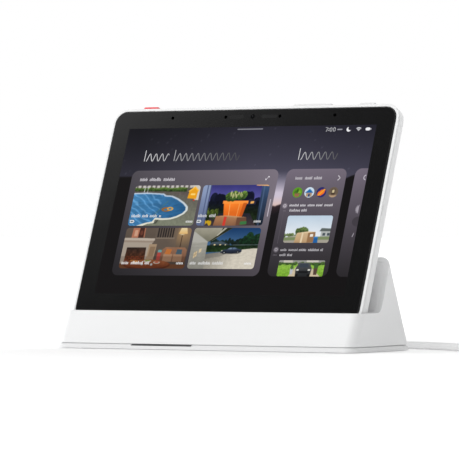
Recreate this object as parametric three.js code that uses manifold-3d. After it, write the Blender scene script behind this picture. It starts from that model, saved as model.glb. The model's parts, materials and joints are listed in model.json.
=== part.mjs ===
// Smart home hub: an 8 inch touch tablet that stands in a wedge-shaped charging dock, with its power lead.
// Millimetres. +X runs along the width, +Y to the back, +Z up. The origin is on the table, at the middle of
// the dock's footprint. The display faces -Y and leans back.
import * as THREE from 'three';
import { mergeVertices } from 'three/addons/utils/BufferGeometryUtils.js';
import Module from 'manifold-3d';

const wasm = await Module();
wasm.setup();

// ---------------------------------------------------------------- driving dimensions
const GAP = 0.3;               // running and assembly gap between separate pieces
const LEAN = 21.6;             // lean of the display from the vertical, degrees
const AY = 2.35;               // centre of the display's active area
const AZ = 82.8;

// tablet, in its own frame: x across, y up the glass from the centre of the active area, z out of the glass (front of the glass is 0)
const GLASS_W = 195.3, GLASS_TOP = 65.25, GLASS_BOT = -69.3, GLASS_T = 1.1, GLASS_R = 7.5;
const BODY_W = 199.4, BODY_TOP = 67.4, BODY_BOT = -71.4, BODY_R = 9.6;
const FRAME_FRONT = -0.6, FRAME_BACK = -1.6;      // thin bezel ring round the glass
const COVER_FRONT = -1.9, COVER_BACK = -8.6;      // rear cover, thin edge
const EDGE_R = 2.2;                               // rounding of the rear edge
const WALL = 1.6;
const BULGE_W = 168, BULGE_TOP = 46, BULGE_BOT = -59.5, BULGE_R = 17, BULGE_BACK = -17.1, BULGE_ROUND = 7;
const MIC_X = [-56.6, -18.9, 18.8, 56.5], SENSOR_Y = 60.5, MIC_HOLE_R = 0.6;
const BUTTONS = [                                  // name, centre x, length
  ['sos_button', -76.0, 11.0],
  ['volume_rocker', 37.6, 27.0],
  ['power_button', 74.9, 11.0],
];
const BUTTON_TOP = 69.7, BUTTON_FRONT = -3.0, BUTTON_BACK = -6.0;
const PAD_X = [-9, -3, 3, 9];                      // charging contacts

// dock, in the object's frame
const DOCK_HALF = 102.4, DOCK_R = 6.5;
const FRONT_Y = -36.35, FRONT_LEAN = 0.434, REAR_Y = 36.35, REAR_LEAN = 0.464;   // at the foot of the base plate, and mm per mm of height
const BASE_Z = 0.4, BASE_TOP = 3.0, HOUSING_Z = 3.5, LIP_Z = 22.7;
const RIDGE_V = -23.0;                             // top of the back rest, up the glass direction
const REST_N = -17.4;                              // plane of the back rest, behind the glass
const DOCK_WALL = 2.3;
const POCKET_FLOOR = -72.6, POCKET_FRONT = 0.3, POCKET_BACK = -9.0, POCKET_HALF = 100.1;
const FEET = [[-84, -25], [84, -25], [-84, 26], [84, 26]], FOOT_R = 5.5, FOOT_T = 1.2;
const SCREWS = [[-70, -24], [70, -24], [-70, 21], [70, 21]];
const LIGHT_X0 = -48.3, LIGHT_X1 = -6.8, LIGHT_Z0 = 2.6, LIGHT_Z1 = 3.2;
const EXIT_Z = 9.6;                                // height of the lead's outlet

// power lead
const CORD_D = 4.5;
const COIL = [173, 50.5];                          // centre of the stored coil
const COIL_MID = 25;                               // middle radius of its turns

// ---------------------------------------------------------------- helpers
function toSolid(geometry, matrix) {
  let g = geometry.clone();
  g.deleteAttribute('normal');
  g.deleteAttribute('uv');
  if (matrix) g.applyMatrix4(matrix);
  g = mergeVertices(g, 1e-4);
  const m = new wasm.Mesh({ numProp: 3, vertProperties: new Float32Array(g.attributes.position.array), triVerts: new Uint32Array(g.index.array) });
  m.merge();
  return new wasm.Manifold(m);
}

function toGeometry(solid) {
  const m = solid.getMesh();
  const g = new THREE.BufferGeometry();
  g.setAttribute('position', new THREE.BufferAttribute(new Float32Array(m.vertProperties), 3));
  g.setIndex(new THREE.BufferAttribute(new Uint32Array(m.triVerts), 1));
  g.computeVertexNormals();
  return g;
}

const T = (x, y, z) => new THREE.Matrix4().makeTranslation(x, y, z);
const cut = (a, ...bs) => bs.reduce((s, b) => s.subtract(b), a);
const join = (a, ...bs) => bs.reduce((s, b) => s.add(b), a);

function roundRect(x0, x1, y0, y1, r) {
  const s = new THREE.Shape();
  s.moveTo(x0 + r, y0);
  s.lineTo(x1 - r, y0);
  s.absarc(x1 - r, y0 + r, r, -Math.PI / 2, 0, false);
  s.lineTo(x1, y1 - r);
  s.absarc(x1 - r, y1 - r, r, 0, Math.PI / 2, false);
  s.lineTo(x0 + r, y1);
  s.absarc(x0 + r, y1 - r, r, Math.PI / 2, Math.PI, false);
  s.lineTo(x0, y0 + r);
  s.absarc(x0 + r, y0 + r, r, Math.PI, 1.5 * Math.PI, false);
  return s;
}

// flat plate of a shape, from z0 to z1
function plate(shape, z0, z1, seg = 5) {
  return toSolid(new THREE.ExtrudeGeometry(shape, { depth: z1 - z0, bevelEnabled: false, curveSegments: seg }), T(0, 0, z0));
}
const rr = (x0, x1, y0, y1, r, z0, z1, seg = 5) => plate(roundRect(x0, x1, y0, y1, r), z0, z1, seg);

// rounded block whose outline at half height is x0..x1, y0..y1, with both flat ends rounded off
function pillow(x0, x1, y0, y1, r, z0, z1, round, seg = 5, steps = 3) {
  const shape = roundRect(x0 + round, x1 - round, y0 + round, y1 - round, r - round);
  const g = new THREE.ExtrudeGeometry(shape, { depth: z1 - z0 - 2 * round, bevelEnabled: true, bevelThickness: round, bevelSize: round, bevelSegments: steps, curveSegments: seg });
  return toSolid(g, T(0, 0, z0 + round));
}

const block = (x0, x1, y0, y1, z0, z1) => toSolid(new THREE.BoxGeometry(x1 - x0, y1 - y0, z1 - z0), T((x0 + x1) / 2, (y0 + y1) / 2, (z0 + z1) / 2));

// cylinder along z, y or x
function rod(axis, a, b, r, lo, hi, seg = 12, r2 = r) {
  const g = new THREE.CylinderGeometry(r2, r, hi - lo, seg);
  const m = new THREE.Matrix4();
  if (axis === 'z') m.makeRotationX(Math.PI / 2).premultiply(T(a, b, (lo + hi) / 2));
  else if (axis === 'y') m.premultiply(T(a, (lo + hi) / 2, b));
  else m.makeRotationZ(-Math.PI / 2).premultiply(T((lo + hi) / 2, a, b));
  return toSolid(g, m);
}

// a profile in (y, z) drawn along x from x0 to x1
function prism(points, x0, x1) {
  const s = new THREE.Shape(points.map(([y, z]) => new THREE.Vector2(y, z)));
  const g = new THREE.ExtrudeGeometry(s, { depth: x1 - x0, bevelEnabled: false });
  const m = new THREE.Matrix4().set(0, 0, 1, x0, 1, 0, 0, 0, 0, 1, 0, 0, 0, 0, 0, 1);
  return toSolid(g, m);
}

const slot = (cx, length, y0, y1, z0, z1, r) => {   // round-ended bar seen along y
  const s = roundRect(cx - length / 2, cx + length / 2, z0, z1, r);
  const g = new THREE.ExtrudeGeometry(s, { depth: y1 - y0, bevelEnabled: false, curveSegments: 4 });
  return toSolid(g, new THREE.Matrix4().set(1, 0, 0, 0, 0, 0, -1, y1, 0, 1, 0, 0, 0, 0, 0, 1));
};

const mat = (color, roughness = 0.5, metalness = 0) => new THREE.MeshStandardMaterial({ color, roughness, metalness });
const WHITE = () => mat(0xf1f1f0, 0.42);
const BLACK = () => mat(0x0c0c0d, 0.12);
const GREY = () => mat(0x8e8f91, 0.75);
const STEEL = () => mat(0xb4b6b9, 0.35, 1);
const GOLD = () => mat(0xc9a04a, 0.3, 1);
const PCB = () => mat(0x1f5138, 0.6);

const hub = new THREE.Group();
function add(parent, name, solid, material) {
  const m = new THREE.Mesh(toGeometry(solid), material);
  m.name = name;
  parent.add(m);
  return m;
}

// ---------------------------------------------------------------- tablet
const tablet = new THREE.Group();
tablet.position.set(0, AY, AZ);
tablet.rotation.x = Math.PI / 2 - LEAN * Math.PI / 180;
hub.add(tablet);

const G2 = GLASS_W / 2, B2 = BODY_W / 2;

// cover glass with its four microphone holes
let glass = rr(-G2, G2, GLASS_BOT, GLASS_TOP, GLASS_R, -GLASS_T, 0, 6);
for (const x of MIC_X) glass = cut(glass, rod('z', x, SENSOR_Y, MIC_HOLE_R, -2, 1, 8));
add(tablet, 'cover_glass', glass, BLACK());

// thin white bezel ring that holds the glass
add(tablet, 'bezel_ring', cut(
  rr(-B2, B2, BODY_BOT, BODY_TOP, BODY_R, FRAME_BACK, FRAME_FRONT, 6),
  rr(-G2 - GAP, G2 + GAP, GLASS_BOT - GAP, GLASS_TOP + GAP, GLASS_R + GAP, FRAME_BACK - 1, FRAME_FRONT + 1, 6)), WHITE());

// display panel behind the glass
add(tablet, 'display_panel', rr(-90, 90, -60, 57.2, 2, -4.0, -1.4, 2), BLACK());

// stiffening plate with two openings for flat cables
let mid = rr(-95, 95, -65.8, 57, 5, -5.2, -4.3, 3);
mid = cut(mid, rr(-40, -26, 45, 49, 1.5, -6, -3, 2), rr(26, 40, 45, 49, 1.5, -6, -3, 2));
const TAB_SCREWS = [[-92.2, 44], [92.2, 44], [-92.2, -52], [92.2, -52]];
for (const [x, y] of TAB_SCREWS) mid = cut(mid, rod('z', x, y, 1.4, -6, -3, 10));
add(tablet, 'midframe', mid, STEEL());

// rear cover: thin edge, raised middle, hollow inside, open at the front
let cover = cut(pillow(-B2, B2, BODY_BOT, BODY_TOP, BODY_R, COVER_BACK, 6, EDGE_R, 6, 3), block(-150, 150, -150, 150, COVER_FRONT, 30));
cover = join(cover, cut(pillow(-BULGE_W / 2, BULGE_W / 2, BULGE_BOT, BULGE_TOP, BULGE_R, BULGE_BACK, 8, BULGE_ROUND, 5, 4), block(-150, 150, -150, 150, COVER_BACK + 1.2, 30)));
let hollow = cut(pillow(-B2 + WALL, B2 - WALL, BODY_BOT + WALL, BODY_TOP - WALL, BODY_R - WALL, COVER_BACK + WALL, 8, 1.2, 5, 2), block(-150, 150, -150, 150, 0, 30));
hollow = join(hollow, cut(pillow(-BULGE_W / 2 + WALL, BULGE_W / 2 - WALL, BULGE_BOT + WALL, BULGE_TOP - WALL, BULGE_R - WALL, BULGE_BACK + WALL, 8, BULGE_ROUND - 0.6, 5, 3), block(-150, 150, -150, 150, COVER_BACK + WALL + 0.6, 30)));
cover = cut(cover, hollow);
for (const [x, y] of TAB_SCREWS) cover = cut(join(cover, rod('z', x, y, 2.5, -7.6, -5.5, 12)), rod('z', x, y, 1.4, -7.0, -3, 10));
for (const [, x, l] of BUTTONS) cover = cut(cover, slot(x, l + 2 * GAP, BODY_TOP - 3, BODY_TOP + 2, BUTTON_BACK - GAP, BUTTON_FRONT + GAP, 1.5));
cover = cut(cover, block(-13.3, 13.3, BODY_BOT - 1, BODY_BOT + 3, -6.6, -3.0));         // charging contact window
for (const s of [-1, 1]) for (let i = -2; i <= 2; i++) cover = cut(cover, block(s * 60 + i * 4 - 0.7, s * 60 + i * 4 + 0.7, -38, 6, -20, -14.5));   // speaker slots
add(tablet, 'rear_cover', cover, WHITE());

// what the tablet holds
add(tablet, 'battery', pillow(-44, 44, -46, 14, 2.2, -15.0, -8.8, 1.2, 2, 2), mat(0x5c5f64, 0.55));
let board = block(-70, 70, -28, 36, -6.8, -5.6);
for (const [x0, x1, y0, y1, h] of [[-58, -36, 17, 33, 1.5], [-28, -8, 18, 34, 1.7], [4, 30, 18, 33, 1.3], [40, 62, 20, 34, 1.5], [48, 64, -20, -4, 1.1], [-64, -50, -18, -2, 1.1]]) board = join(board, block(x0, x1, y0, y1, -6.8 - h, -6.5));
add(tablet, 'main_board', board, PCB());
for (const [n, s] of [['speaker_left', -1], ['speaker_right', 1]])
  add(tablet, n, pillow(s * 60 - 10, s * 60 + 10, -42, 10, 3, -15.0, -8.9, 1.0, 3, 2), mat(0x2a2b2d, 0.6));
add(tablet, 'camera_module', join(rod('z', 0, SENSOR_Y, 2.1, -4.6, -1.4, 16), block(-3.4, 3.4, 57.7, 62.4, -5.6, -4.2)), BLACK());
add(tablet, 'microphone_board', cut(block(-64, 64, 58.0, 64.8, -2.2, -1.4), rod('z', 0, SENSOR_Y, 2.7, -4, 0, 16), block(-2.7, 2.7, 57, SENSOR_Y, -4, 0)), PCB());
add(tablet, 'wifi_antenna', block(-84, -50, 49, 56, -6.7, -6.2), mat(0x7a5a2b, 0.5));

// buttons on the top edge, and the strip that carries their switches
for (const [name, x, l] of BUTTONS) {
  const cap = slot(x, l, BODY_TOP - WALL - 0.6, BUTTON_TOP, BUTTON_BACK, BUTTON_FRONT, 1.3);
  const flange = block(x - l / 2 - 0.8, x + l / 2 + 0.8, 64.4, 65.4, BUTTON_BACK - 0.1, BUTTON_FRONT + 0.4);
  add(tablet, name, join(cap, flange), name === 'sos_button' ? mat(0xe5333b, 0.45) : WHITE());
}
let strip = block(-84, 82, 62.95, 63.5, -6.6, -2.9);
for (const [, x, l] of BUTTONS) for (const dx of l > 20 ? [-8, 8] : [0]) strip = join(strip, block(x + dx - 1.6, x + dx + 1.6, 63.3, 63.95, -5.7, -3.3));
add(tablet, 'button_board', strip, mat(0x8a5a22, 0.5));

// charging contacts on the bottom edge, set back in their carrier
let carrier = join(block(-13, 13, BODY_BOT, -66.6, -6.3, -3.3), block(-15.5, 15.5, -69.0, -67.4, -6.2, -3.9));
for (const x of PAD_X) carrier = cut(carrier, block(x - 1.7, x + 1.7, BODY_BOT - 1, BODY_BOT + 1.5, -5.9, -3.7));
add(tablet, 'contact_carrier', carrier, mat(0x202123, 0.5));
PAD_X.forEach((x, i) => add(tablet, `contact_pad_${i + 1}`, block(x - 1.4, x + 1.4, BODY_BOT + 0.7, BODY_BOT + 1.2, -5.6, -4.0), GOLD()));

for (const [n, s] of [['tablet_magnet_left', -1], ['tablet_magnet_right', 1]])
  add(tablet, n, block(s * 52 - 12, s * 52 + 12, -66.5, -60.8, -6.7, -5.5), STEEL());

TAB_SCREWS.forEach(([x, y], i) => add(tablet, `tablet_screw_${i + 1}`, join(rod('z', x, y, 2.0, -4.0, -3.1, 10), rod('z', x, y, 1.05, -6.7, -3.9, 10)), STEEL()));

// ---------------------------------------------------------------- dock
const dock = new THREE.Group();
hub.add(dock);
const sin = Math.sin(LEAN * Math.PI / 180), cos = Math.cos(LEAN * Math.PI / 180), tan = sin / cos;
const local = new THREE.Matrix4().makeRotationX(Math.PI / 2 - LEAN * Math.PI / 180).setPosition(0, AY, AZ);   // tablet frame to object frame
const inTablet = (solid) => toSolid(toGeometry(solid), local);
const yf = (z) => FRONT_Y + FRONT_LEAN * (z - BASE_Z);
const yr = (z) => REAR_Y - REAR_LEAN * (z - BASE_Z);
const yn = (z, n) => AY + (z - AZ) * tan - n / cos;      // y of the plane n behind the glass, at height z

// plan outline with rounded corners, leaning with the front and the rear face, and the rounded top corners of the back rest
function shear(solid, k) {
  return toSolid(toGeometry(solid), new THREE.Matrix4().set(1, 0, 0, 0, 0, 1, k, -k * BASE_Z, 0, 0, 1, 0, 0, 0, 0, 1));
}
function envelope(inset) {
  const h = DOCK_HALF - inset, r = DOCK_R - inset * 0.6;
  const f = shear(rr(-h, h, FRONT_Y + inset, 160, r, -5, 70, 6), FRONT_LEAN);
  const b = shear(rr(-h, h, -160, REAR_Y - inset, r, -5, 70, 6), -REAR_LEAN);
  const t = inTablet(rr(-h, h, -260, RIDGE_V - inset, r, -160, 160, 6));
  return f.intersect(b).intersect(t);
}
const restFoot = yn(LIP_Z, REST_N);
const profile = [
  [yf(HOUSING_Z) - 5, HOUSING_Z], [60, HOUSING_Z], [60, 70], [yn(70, REST_N), 70],
  [yn(LIP_Z + 3.2, REST_N), LIP_Z + 3.2], [yn(LIP_Z + 1.3, REST_N) - 0.25, LIP_Z + 1.3], [restFoot - 1.2, LIP_Z + 0.3], [restFoot - 3.2, LIP_Z],
  [yf(LIP_Z) - 5, LIP_Z],
];
const outer = prism(profile, -120, 120).intersect(envelope(0));

// inside of the housing, open at the bottom
const CAV_N = REST_N - 1.2 - 1.7;
const cavity = [
  [yf(0) + DOCK_WALL, 0], [yr(0) - DOCK_WALL - 0.2, 0],
  [yr(47) - DOCK_WALL - 0.2, 47], [yn(47, CAV_N), 47], [yn(LIP_Z - 2.4, CAV_N), LIP_Z - 2.4],
  [yn(LIP_Z - 2.4, POCKET_BACK - 2.0), LIP_Z - 2.4], [yn(10.3, POCKET_BACK - 2.0), 10.3],
  [yn(13.3, POCKET_FRONT) + 0.4, 13.3], [yf(13.3) + DOCK_WALL + 0.4, 13.3],
];
let housing = cut(outer, prism(cavity, -120, 120).intersect(envelope(DOCK_WALL)));
for (const [x, y] of SCREWS) housing = join(housing, rod('z', x, y, 3.2, HOUSING_Z, y < 0 ? 13.5 : 22, 12).intersect(outer));
for (const [x, y] of SCREWS) housing = cut(housing, rod('z', x, y, 1.6, HOUSING_Z - 2, 9.6, 10));
housing = cut(housing,
  inTablet(rr(-POCKET_HALF, POCKET_HALF, POCKET_FLOOR, 120, 4, POCKET_BACK, POCKET_FRONT, 4)),           // tablet slot
  inTablet(rr(-99.7, 99.7, -57.8, RIDGE_V - 2.9, 4.8, REST_N - 1.2, REST_N + 3, 4)),                     // recess of the soft pad
  inTablet(rr(-17.3, 17.3, -90, -70, 1, -7.1, -2.3, 2)),                                                 // window of the charging pins
  rod('y', 0, EXIT_Z, 3.7, 20, 45, 14));                                                                 // outlet of the power lead
add(dock, 'dock_housing', housing, WHITE());

// soft pad on the back rest
add(dock, 'rest_pad', inTablet(rr(-99.4, 99.4, -57.5, RIDGE_V - 3.2, 4.5, REST_N - 0.9, REST_N, 4)), GREY());

// base plate with its upstand, foot pockets, screw holes and the notch of the light window
function band(z0, z1, inset) {
  return block(-130, 130, -60, 60, z0, z1).intersect(envelope(inset));
}
let base = join(band(BASE_Z, BASE_TOP, 0), cut(band(BASE_TOP - 0.5, 5.2, DOCK_WALL + 0.7), band(BASE_TOP, 7, DOCK_WALL + 2.0)));
for (const [x, y] of FEET) base = cut(base, rod('z', x, y, FOOT_R + GAP, -1, FOOT_T + GAP, 20));
for (const [x, y] of SCREWS) base = cut(base, rod('z', x, y, 2.8, -1, 2.0, 12), rod('z', x, y, 1.6, 0, 9, 10));
const slant = (z) => LIGHT_X1 + 0.4 * (z - LIGHT_Z1);     // its right end slants
const notch = (g, z0, z1) => {
  const s = new THREE.Shape([[LIGHT_X0 - g, z0], [slant(z0) + 1.1 * g, z0], [slant(z1) + 1.1 * g, z1], [LIGHT_X0 - g, z1]].map(([x, z]) => new THREE.Vector2(x, z)));
  return (y0, y1) => toSolid(new THREE.ExtrudeGeometry(s, { depth: y1 - y0, bevelEnabled: false }), new THREE.Matrix4().set(1, 0, 0, 0, 0, 0, -1, y1, 0, 1, 0, 0, 0, 0, 0, 1));
};
base = cut(base, notch(GAP, LIGHT_Z0 - GAP, 3.4)(-40, -29.6));
const boardPosts = [[-26, 6], [26, 6], [-26, 20], [26, 20]];
for (const [x, y] of boardPosts) base = join(base, rod('z', x, y, 2.2, 2.5, 7.6, 10));
add(dock, 'base_plate', base, WHITE());

// smoked light window in the front edge, and the light board behind it
add(dock, 'light_window', notch(0, LIGHT_Z0, LIGHT_Z1)(-36, -33.4).intersect(envelope(0.35)), mat(0x2e2f31, 0.25));
add(dock, 'light_board', block(-46, -10, -33.0, -31.9, LIGHT_Z0, LIGHT_Z1), PCB());

FEET.forEach(([x, y], i) => add(dock, `rubber_foot_${i + 1}`, rod('z', x, y, FOOT_R, 0, FOOT_T, 20), mat(0x6d6e70, 0.9)));
SCREWS.forEach(([x, y], i) => add(dock, `base_screw_${i + 1}`, join(rod('z', x, y, 2.4, 0.7, 1.7, 12), rod('z', x, y, 1.25, 1.6, 9.0, 10)), STEEL()));

// soft strips that the tablet's bottom edge stands on
for (const [n, s] of [['slot_pad_left', -1], ['slot_pad_right', 1]])
  add(dock, n, inTablet(rr(s * 58 - 32, s * 58 + 32, POCKET_FLOOR + GAP, POCKET_FLOOR + GAP + 0.6, 0.2, -7.6, -1.6, 1)), GREY());

// sprung charging pins in their block, and the board below them
let pinBlock = join(inTablet(block(-17, 17, -77.5, -72.2, -6.8, -2.6)));
for (const x of PAD_X) pinBlock = cut(pinBlock, inTablet(rod('y', x, -4.8, 1.15, -80, -70, 10)));
add(dock, 'pin_block', pinBlock, mat(0x202123, 0.5));
PAD_X.forEach((x, i) => add(dock, `charging_pin_${i + 1}`, inTablet(join(rod('y', x, -4.8, 0.8, -76.6, -71.3, 10), rod('y', x, -4.8, 0.55, -71.4, -71.1, 10))), GOLD()));
add(dock, 'pin_board', inTablet(block(-15, 15, -79.4, -78.3, -7.2, -2.2)), PCB());

for (const [n, s] of [['dock_magnet_left', -1], ['dock_magnet_right', 1]])
  add(dock, n, block(s * 52 - 12, s * 52 + 12, -17.6, -12.6, 6.4, 8.9), STEEL());

// steel ballast and the power board on the base plate
add(dock, 'ballast_plate', block(-62, 62, -13.5, 0.5, 3.3, 5.8), STEEL());
add(dock, 'power_board', join(block(-30, 30, 3, 23, 7.9, 9.1), block(-22, -8, 8, 18, 9.0, 13), block(2, 14, 8, 18, 9.0, 11.5), block(18, 26, 10, 16, 9.0, 12)), PCB());

// ---------------------------------------------------------------- power lead
const lead = new THREE.Group();
hub.add(lead);
const wallY = yr(EXIT_Z);
const reliefEnd = wallY + 14;
const reliefPts = [[0, 24.2], [3.9, 24.2], [3.9, 26.2], [3.3, 26.4], [3.3, wallY], [3.25, wallY + 1], [2.9, wallY + 8], [2.5, reliefEnd], [0, reliefEnd]];
add(lead, 'strain_relief', toSolid(new THREE.LatheGeometry(reliefPts.map(([r, y]) => new THREE.Vector2(r, y)), 16), T(0, 0, EXIT_Z)), mat(0xdfdfdf, 0.6));

const coilIn = [COIL[0] - 20, COIL[1] - COIL_MID - CORD_D, CORD_D / 2 + 0.15];
const route = [
  [0, reliefEnd + 0.35, EXIT_Z], [0, reliefEnd + 4, EXIT_Z - 0.15], [1.4, reliefEnd + 11, 7.6], [6.6, reliefEnd + 19, 4.9], [16, reliefEnd + 26, 3.0],
  [30, reliefEnd + 28.8, 2.4], [47, 73.6, 2.4], [66, 68.2, 2.4], [89.3, 59.4, 2.4], [109, 51.0, 2.4], [126.5, 41.4, 2.4], [135.2, 34.2, 2.4],
  [140.2, 27.4, 2.4], [144.8, coilIn[1] + 2.1, 2.4], [149.4, coilIn[1], 2.4], coilIn,
].map((p) => new THREE.Vector3(...p));
const section = (r, n) => new THREE.Shape(Array.from({ length: n }, (_, i) => new THREE.Vector2(r * Math.cos((i / n) * 2 * Math.PI), r * Math.sin((i / n) * 2 * Math.PI))));
const tube = (points, steps, r = CORD_D / 2, n = 10) => toSolid(new THREE.ExtrudeGeometry(section(r, n), { steps, extrudePath: new THREE.CatmullRomCurve3(points, false, 'centripetal'), bevelEnabled: false }));
add(lead, 'cord', tube(route, 36), mat(0xe9e9e9, 0.5));

// stored coil: a ring of turns, with the run that enters it and the tail that climbs to the plug
const c0 = COIL_MID - 6.75, c1 = COIL_MID + 6.75, cz = 13.55;
const ringPts = [[c0 + 1.4, 0.05], [c1 - 1.4, 0.05], [c1, 1.45], [c1, cz - 1.4], [c1 - 1.4, cz], [c0 + 1.4, cz], [c0, cz - 1.4], [c0, 1.45], [c0 + 1.4, 0.05]];
const ring = toSolid(new THREE.LatheGeometry(ringPts.map(([r, z]) => new THREE.Vector2(r, z)), 36), new THREE.Matrix4().makeRotationX(Math.PI / 2).premultiply(T(COIL[0], COIL[1], 0)));
const PLUG_Y = COIL[1] - 14, PLUG_Z = 17.9;
const stub = rod('x', coilIn[1], coilIn[2], CORD_D / 2, coilIn[0] + 0.35, COIL[0], 10);
const tail = tube([[-27.5, 6, 12.5], [-27.8, -1.0, 14.4], [-26.0, -7.8, 16.2], [-22.5, -12.3, 17.5], [-18.5, -14, 17.9], [-15.4, -14, 17.9]].map(([x, y, z]) => new THREE.Vector3(COIL[0] + x, COIL[1] + y, z)), 8);
add(lead, 'cord_coil', join(ring, stub, tail), mat(0xe9e9e9, 0.5));

// tie over the bundle
const tie = cut(block(-4, 4, c0 - 1.8, c1 + 1.3, 0.1, cz + 1.3), block(-5, 5, c0 - 0.8, c1 + 0.4, -1, cz + 0.3));
add(lead, 'cord_tie', toSolid(toGeometry(tie), new THREE.Matrix4().makeRotationZ(-Math.PI / 6).premultiply(T(COIL[0], COIL[1], 0))), mat(0x3a3b3d, 0.8));

// plug that lies across the coil
add(lead, 'plug_body', join(
  rod('x', PLUG_Y, PLUG_Z, 2.3, COIL[0] - 15.0, COIL[0] - 6, 12, 3.1),
  toSolid(toGeometry(pillow(-12, 12, -8, 8, 2.6, -4, 4, 1.2, 3, 2)), T(COIL[0] + 5.5, PLUG_Y, PLUG_Z))), mat(0xededed, 0.5));
add(lead, 'plug_shell', cut(block(COIL[0] + 17.8, COIL[0] + 31.5, PLUG_Y - 6, PLUG_Y + 6, PLUG_Z - 2.25, PLUG_Z + 2.25), block(COIL[0] + 19.5, COIL[0] + 33, PLUG_Y - 5.5, PLUG_Y + 5.5, PLUG_Z - 0.1, PLUG_Z + 1.8)), STEEL());

export default hub;
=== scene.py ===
"""The looks of the smart home hub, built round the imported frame. Metres, in the frame of the CAD part."""
import json
import math
import random

import bmesh
import bpy
import numpy as np
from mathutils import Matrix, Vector


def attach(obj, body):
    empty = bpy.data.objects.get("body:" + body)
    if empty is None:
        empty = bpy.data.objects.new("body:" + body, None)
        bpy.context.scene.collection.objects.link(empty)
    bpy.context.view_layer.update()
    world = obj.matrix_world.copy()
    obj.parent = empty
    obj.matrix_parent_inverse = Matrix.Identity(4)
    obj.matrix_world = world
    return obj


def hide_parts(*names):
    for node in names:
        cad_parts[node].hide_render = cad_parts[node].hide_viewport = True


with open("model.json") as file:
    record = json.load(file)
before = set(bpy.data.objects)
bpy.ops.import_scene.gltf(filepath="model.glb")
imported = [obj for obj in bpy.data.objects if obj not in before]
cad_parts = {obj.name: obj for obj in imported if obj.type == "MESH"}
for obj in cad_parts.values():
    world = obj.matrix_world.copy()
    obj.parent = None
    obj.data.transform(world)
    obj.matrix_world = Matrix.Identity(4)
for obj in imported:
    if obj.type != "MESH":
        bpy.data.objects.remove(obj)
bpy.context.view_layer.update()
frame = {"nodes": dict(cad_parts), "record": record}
random.seed(7)
NODES = frame["nodes"]

# ------------------------------------------------------------------ dimensions of the CAD part, in mm
LEAN = math.radians(21.6)
SN, CS = math.sin(LEAN), math.cos(LEAN)
TN = SN / CS
AY, AZ = 2.35, 82.8
GLASS = (-97.65, 97.65, -69.3, 65.25, 7.5)          # x0, x1, v0, v1, corner radius
BODY = (-99.7, 99.7, -71.4, 67.4, 9.6)
BULGE = (-84.0, 84.0, -59.5, 46.0, 17.0)
DOCK_HALF, DOCK_R = 102.4, 6.5
FRONT_Y, FRONT_LEAN, REAR_Y, REAR_LEAN = -36.35, 0.434, 36.35, 0.464
BASE_Z, BASE_TOP, HOUSING_Z, LIP_Z = 0.4, 3.0, 3.5, 22.7
RIDGE_V, REST_N = -23.0, -17.4
POCKET_FLOOR = -72.6
EXIT_Z = 9.6
COIL = (173.0, 50.5)
CORD_R = 2.25
BUTTONS = (("sos_button", -76.0, 11.0), ("volume_rocker", 37.6, 27.0), ("power_button", 74.9, 11.0))


def tab(p):
    """A point of the tablet (across, up the glass, out of the glass) in the row frame, all in mm."""
    x, v, n = p
    return (x, AY + v * SN - n * CS, AZ + v * CS + n * SN)


def yf(z):
    return FRONT_Y + FRONT_LEAN * (z - BASE_Z)


def yr(z):
    return REAR_Y - REAR_LEAN * (z - BASE_Z)


def yn(z, n):
    return AY + (z - AZ) * TN - n / CS


# ------------------------------------------------------------------ materials
def lin(c):
    """8 bit display value to linear light."""
    c = np.asarray(c, float) / 255.0
    return np.where(c <= 0.04045, c / 12.92, ((c + 0.055) / 1.055) ** 2.4)


def shader(name):
    m = bpy.data.materials.new(name)
    m.use_nodes = True
    return m, m.node_tree, m.node_tree.nodes["Principled BSDF"]


def surface(name, color, rough, metal=0.0, grain=900.0, bump=0.03, tone=0.03, rough_var=0.06, spec=0.5, coat=0.0,
            stretch=(1, 1, 1), sheen=0.0, sss=0.0, dust=None):
    """A material with its own grain: a slow change of tone, roughness that varies, and a fine bump."""
    m, nt, p = shader(name)
    n, link = nt.nodes, nt.links
    p.inputs["Metallic"].default_value = metal
    p.inputs["Specular IOR Level"].default_value = spec
    p.inputs["Coat Weight"].default_value = coat
    p.inputs["Coat Roughness"].default_value = 0.12
    if sheen:
        p.inputs["Sheen Weight"].default_value = sheen
    if sss:
        p.inputs["Subsurface Weight"].default_value = sss
        p.inputs["Subsurface Scale"].default_value = 0.002
    co = n.new("ShaderNodeTexCoord")
    mp = n.new("ShaderNodeMapping")
    mp.inputs["Scale"].default_value = stretch
    link.new(co.outputs["Object"], mp.inputs["Vector"])
    big = n.new("ShaderNodeTexNoise")
    big.inputs["Scale"].default_value = 22.0
    big.inputs["Detail"].default_value = 3.0
    link.new(mp.outputs["Vector"], big.inputs["Vector"])
    mix = n.new("ShaderNodeMix")
    mix.data_type = "RGBA"
    c = Vector(color)
    mix.inputs[6].default_value = (*(c * (1 - tone)), 1)
    mix.inputs[7].default_value = (*(c * (1 + tone)), 1)
    link.new(big.outputs["Fac"], mix.inputs[0])
    link.new(mix.outputs[2], p.inputs["Base Color"])
    fine = n.new("ShaderNodeTexNoise")
    fine.inputs["Scale"].default_value = grain
    fine.inputs["Detail"].default_value = 4.0
    link.new(mp.outputs["Vector"], fine.inputs["Vector"])
    mr = n.new("ShaderNodeMapRange")
    mr.inputs["To Min"].default_value = max(0.02, rough - rough_var)
    mr.inputs["To Max"].default_value = min(1.0, rough + rough_var)
    link.new(fine.outputs["Fac"], mr.inputs["Value"])
    link.new(mr.outputs["Result"], p.inputs["Roughness"])
    b = n.new("ShaderNodeBump")
    b.inputs["Strength"].default_value = bump
    b.inputs["Distance"].default_value = 0.0002
    link.new(fine.outputs["Fac"], b.inputs["Height"])
    link.new(b.outputs["Normal"], p.inputs["Normal"])
    return m


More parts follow.
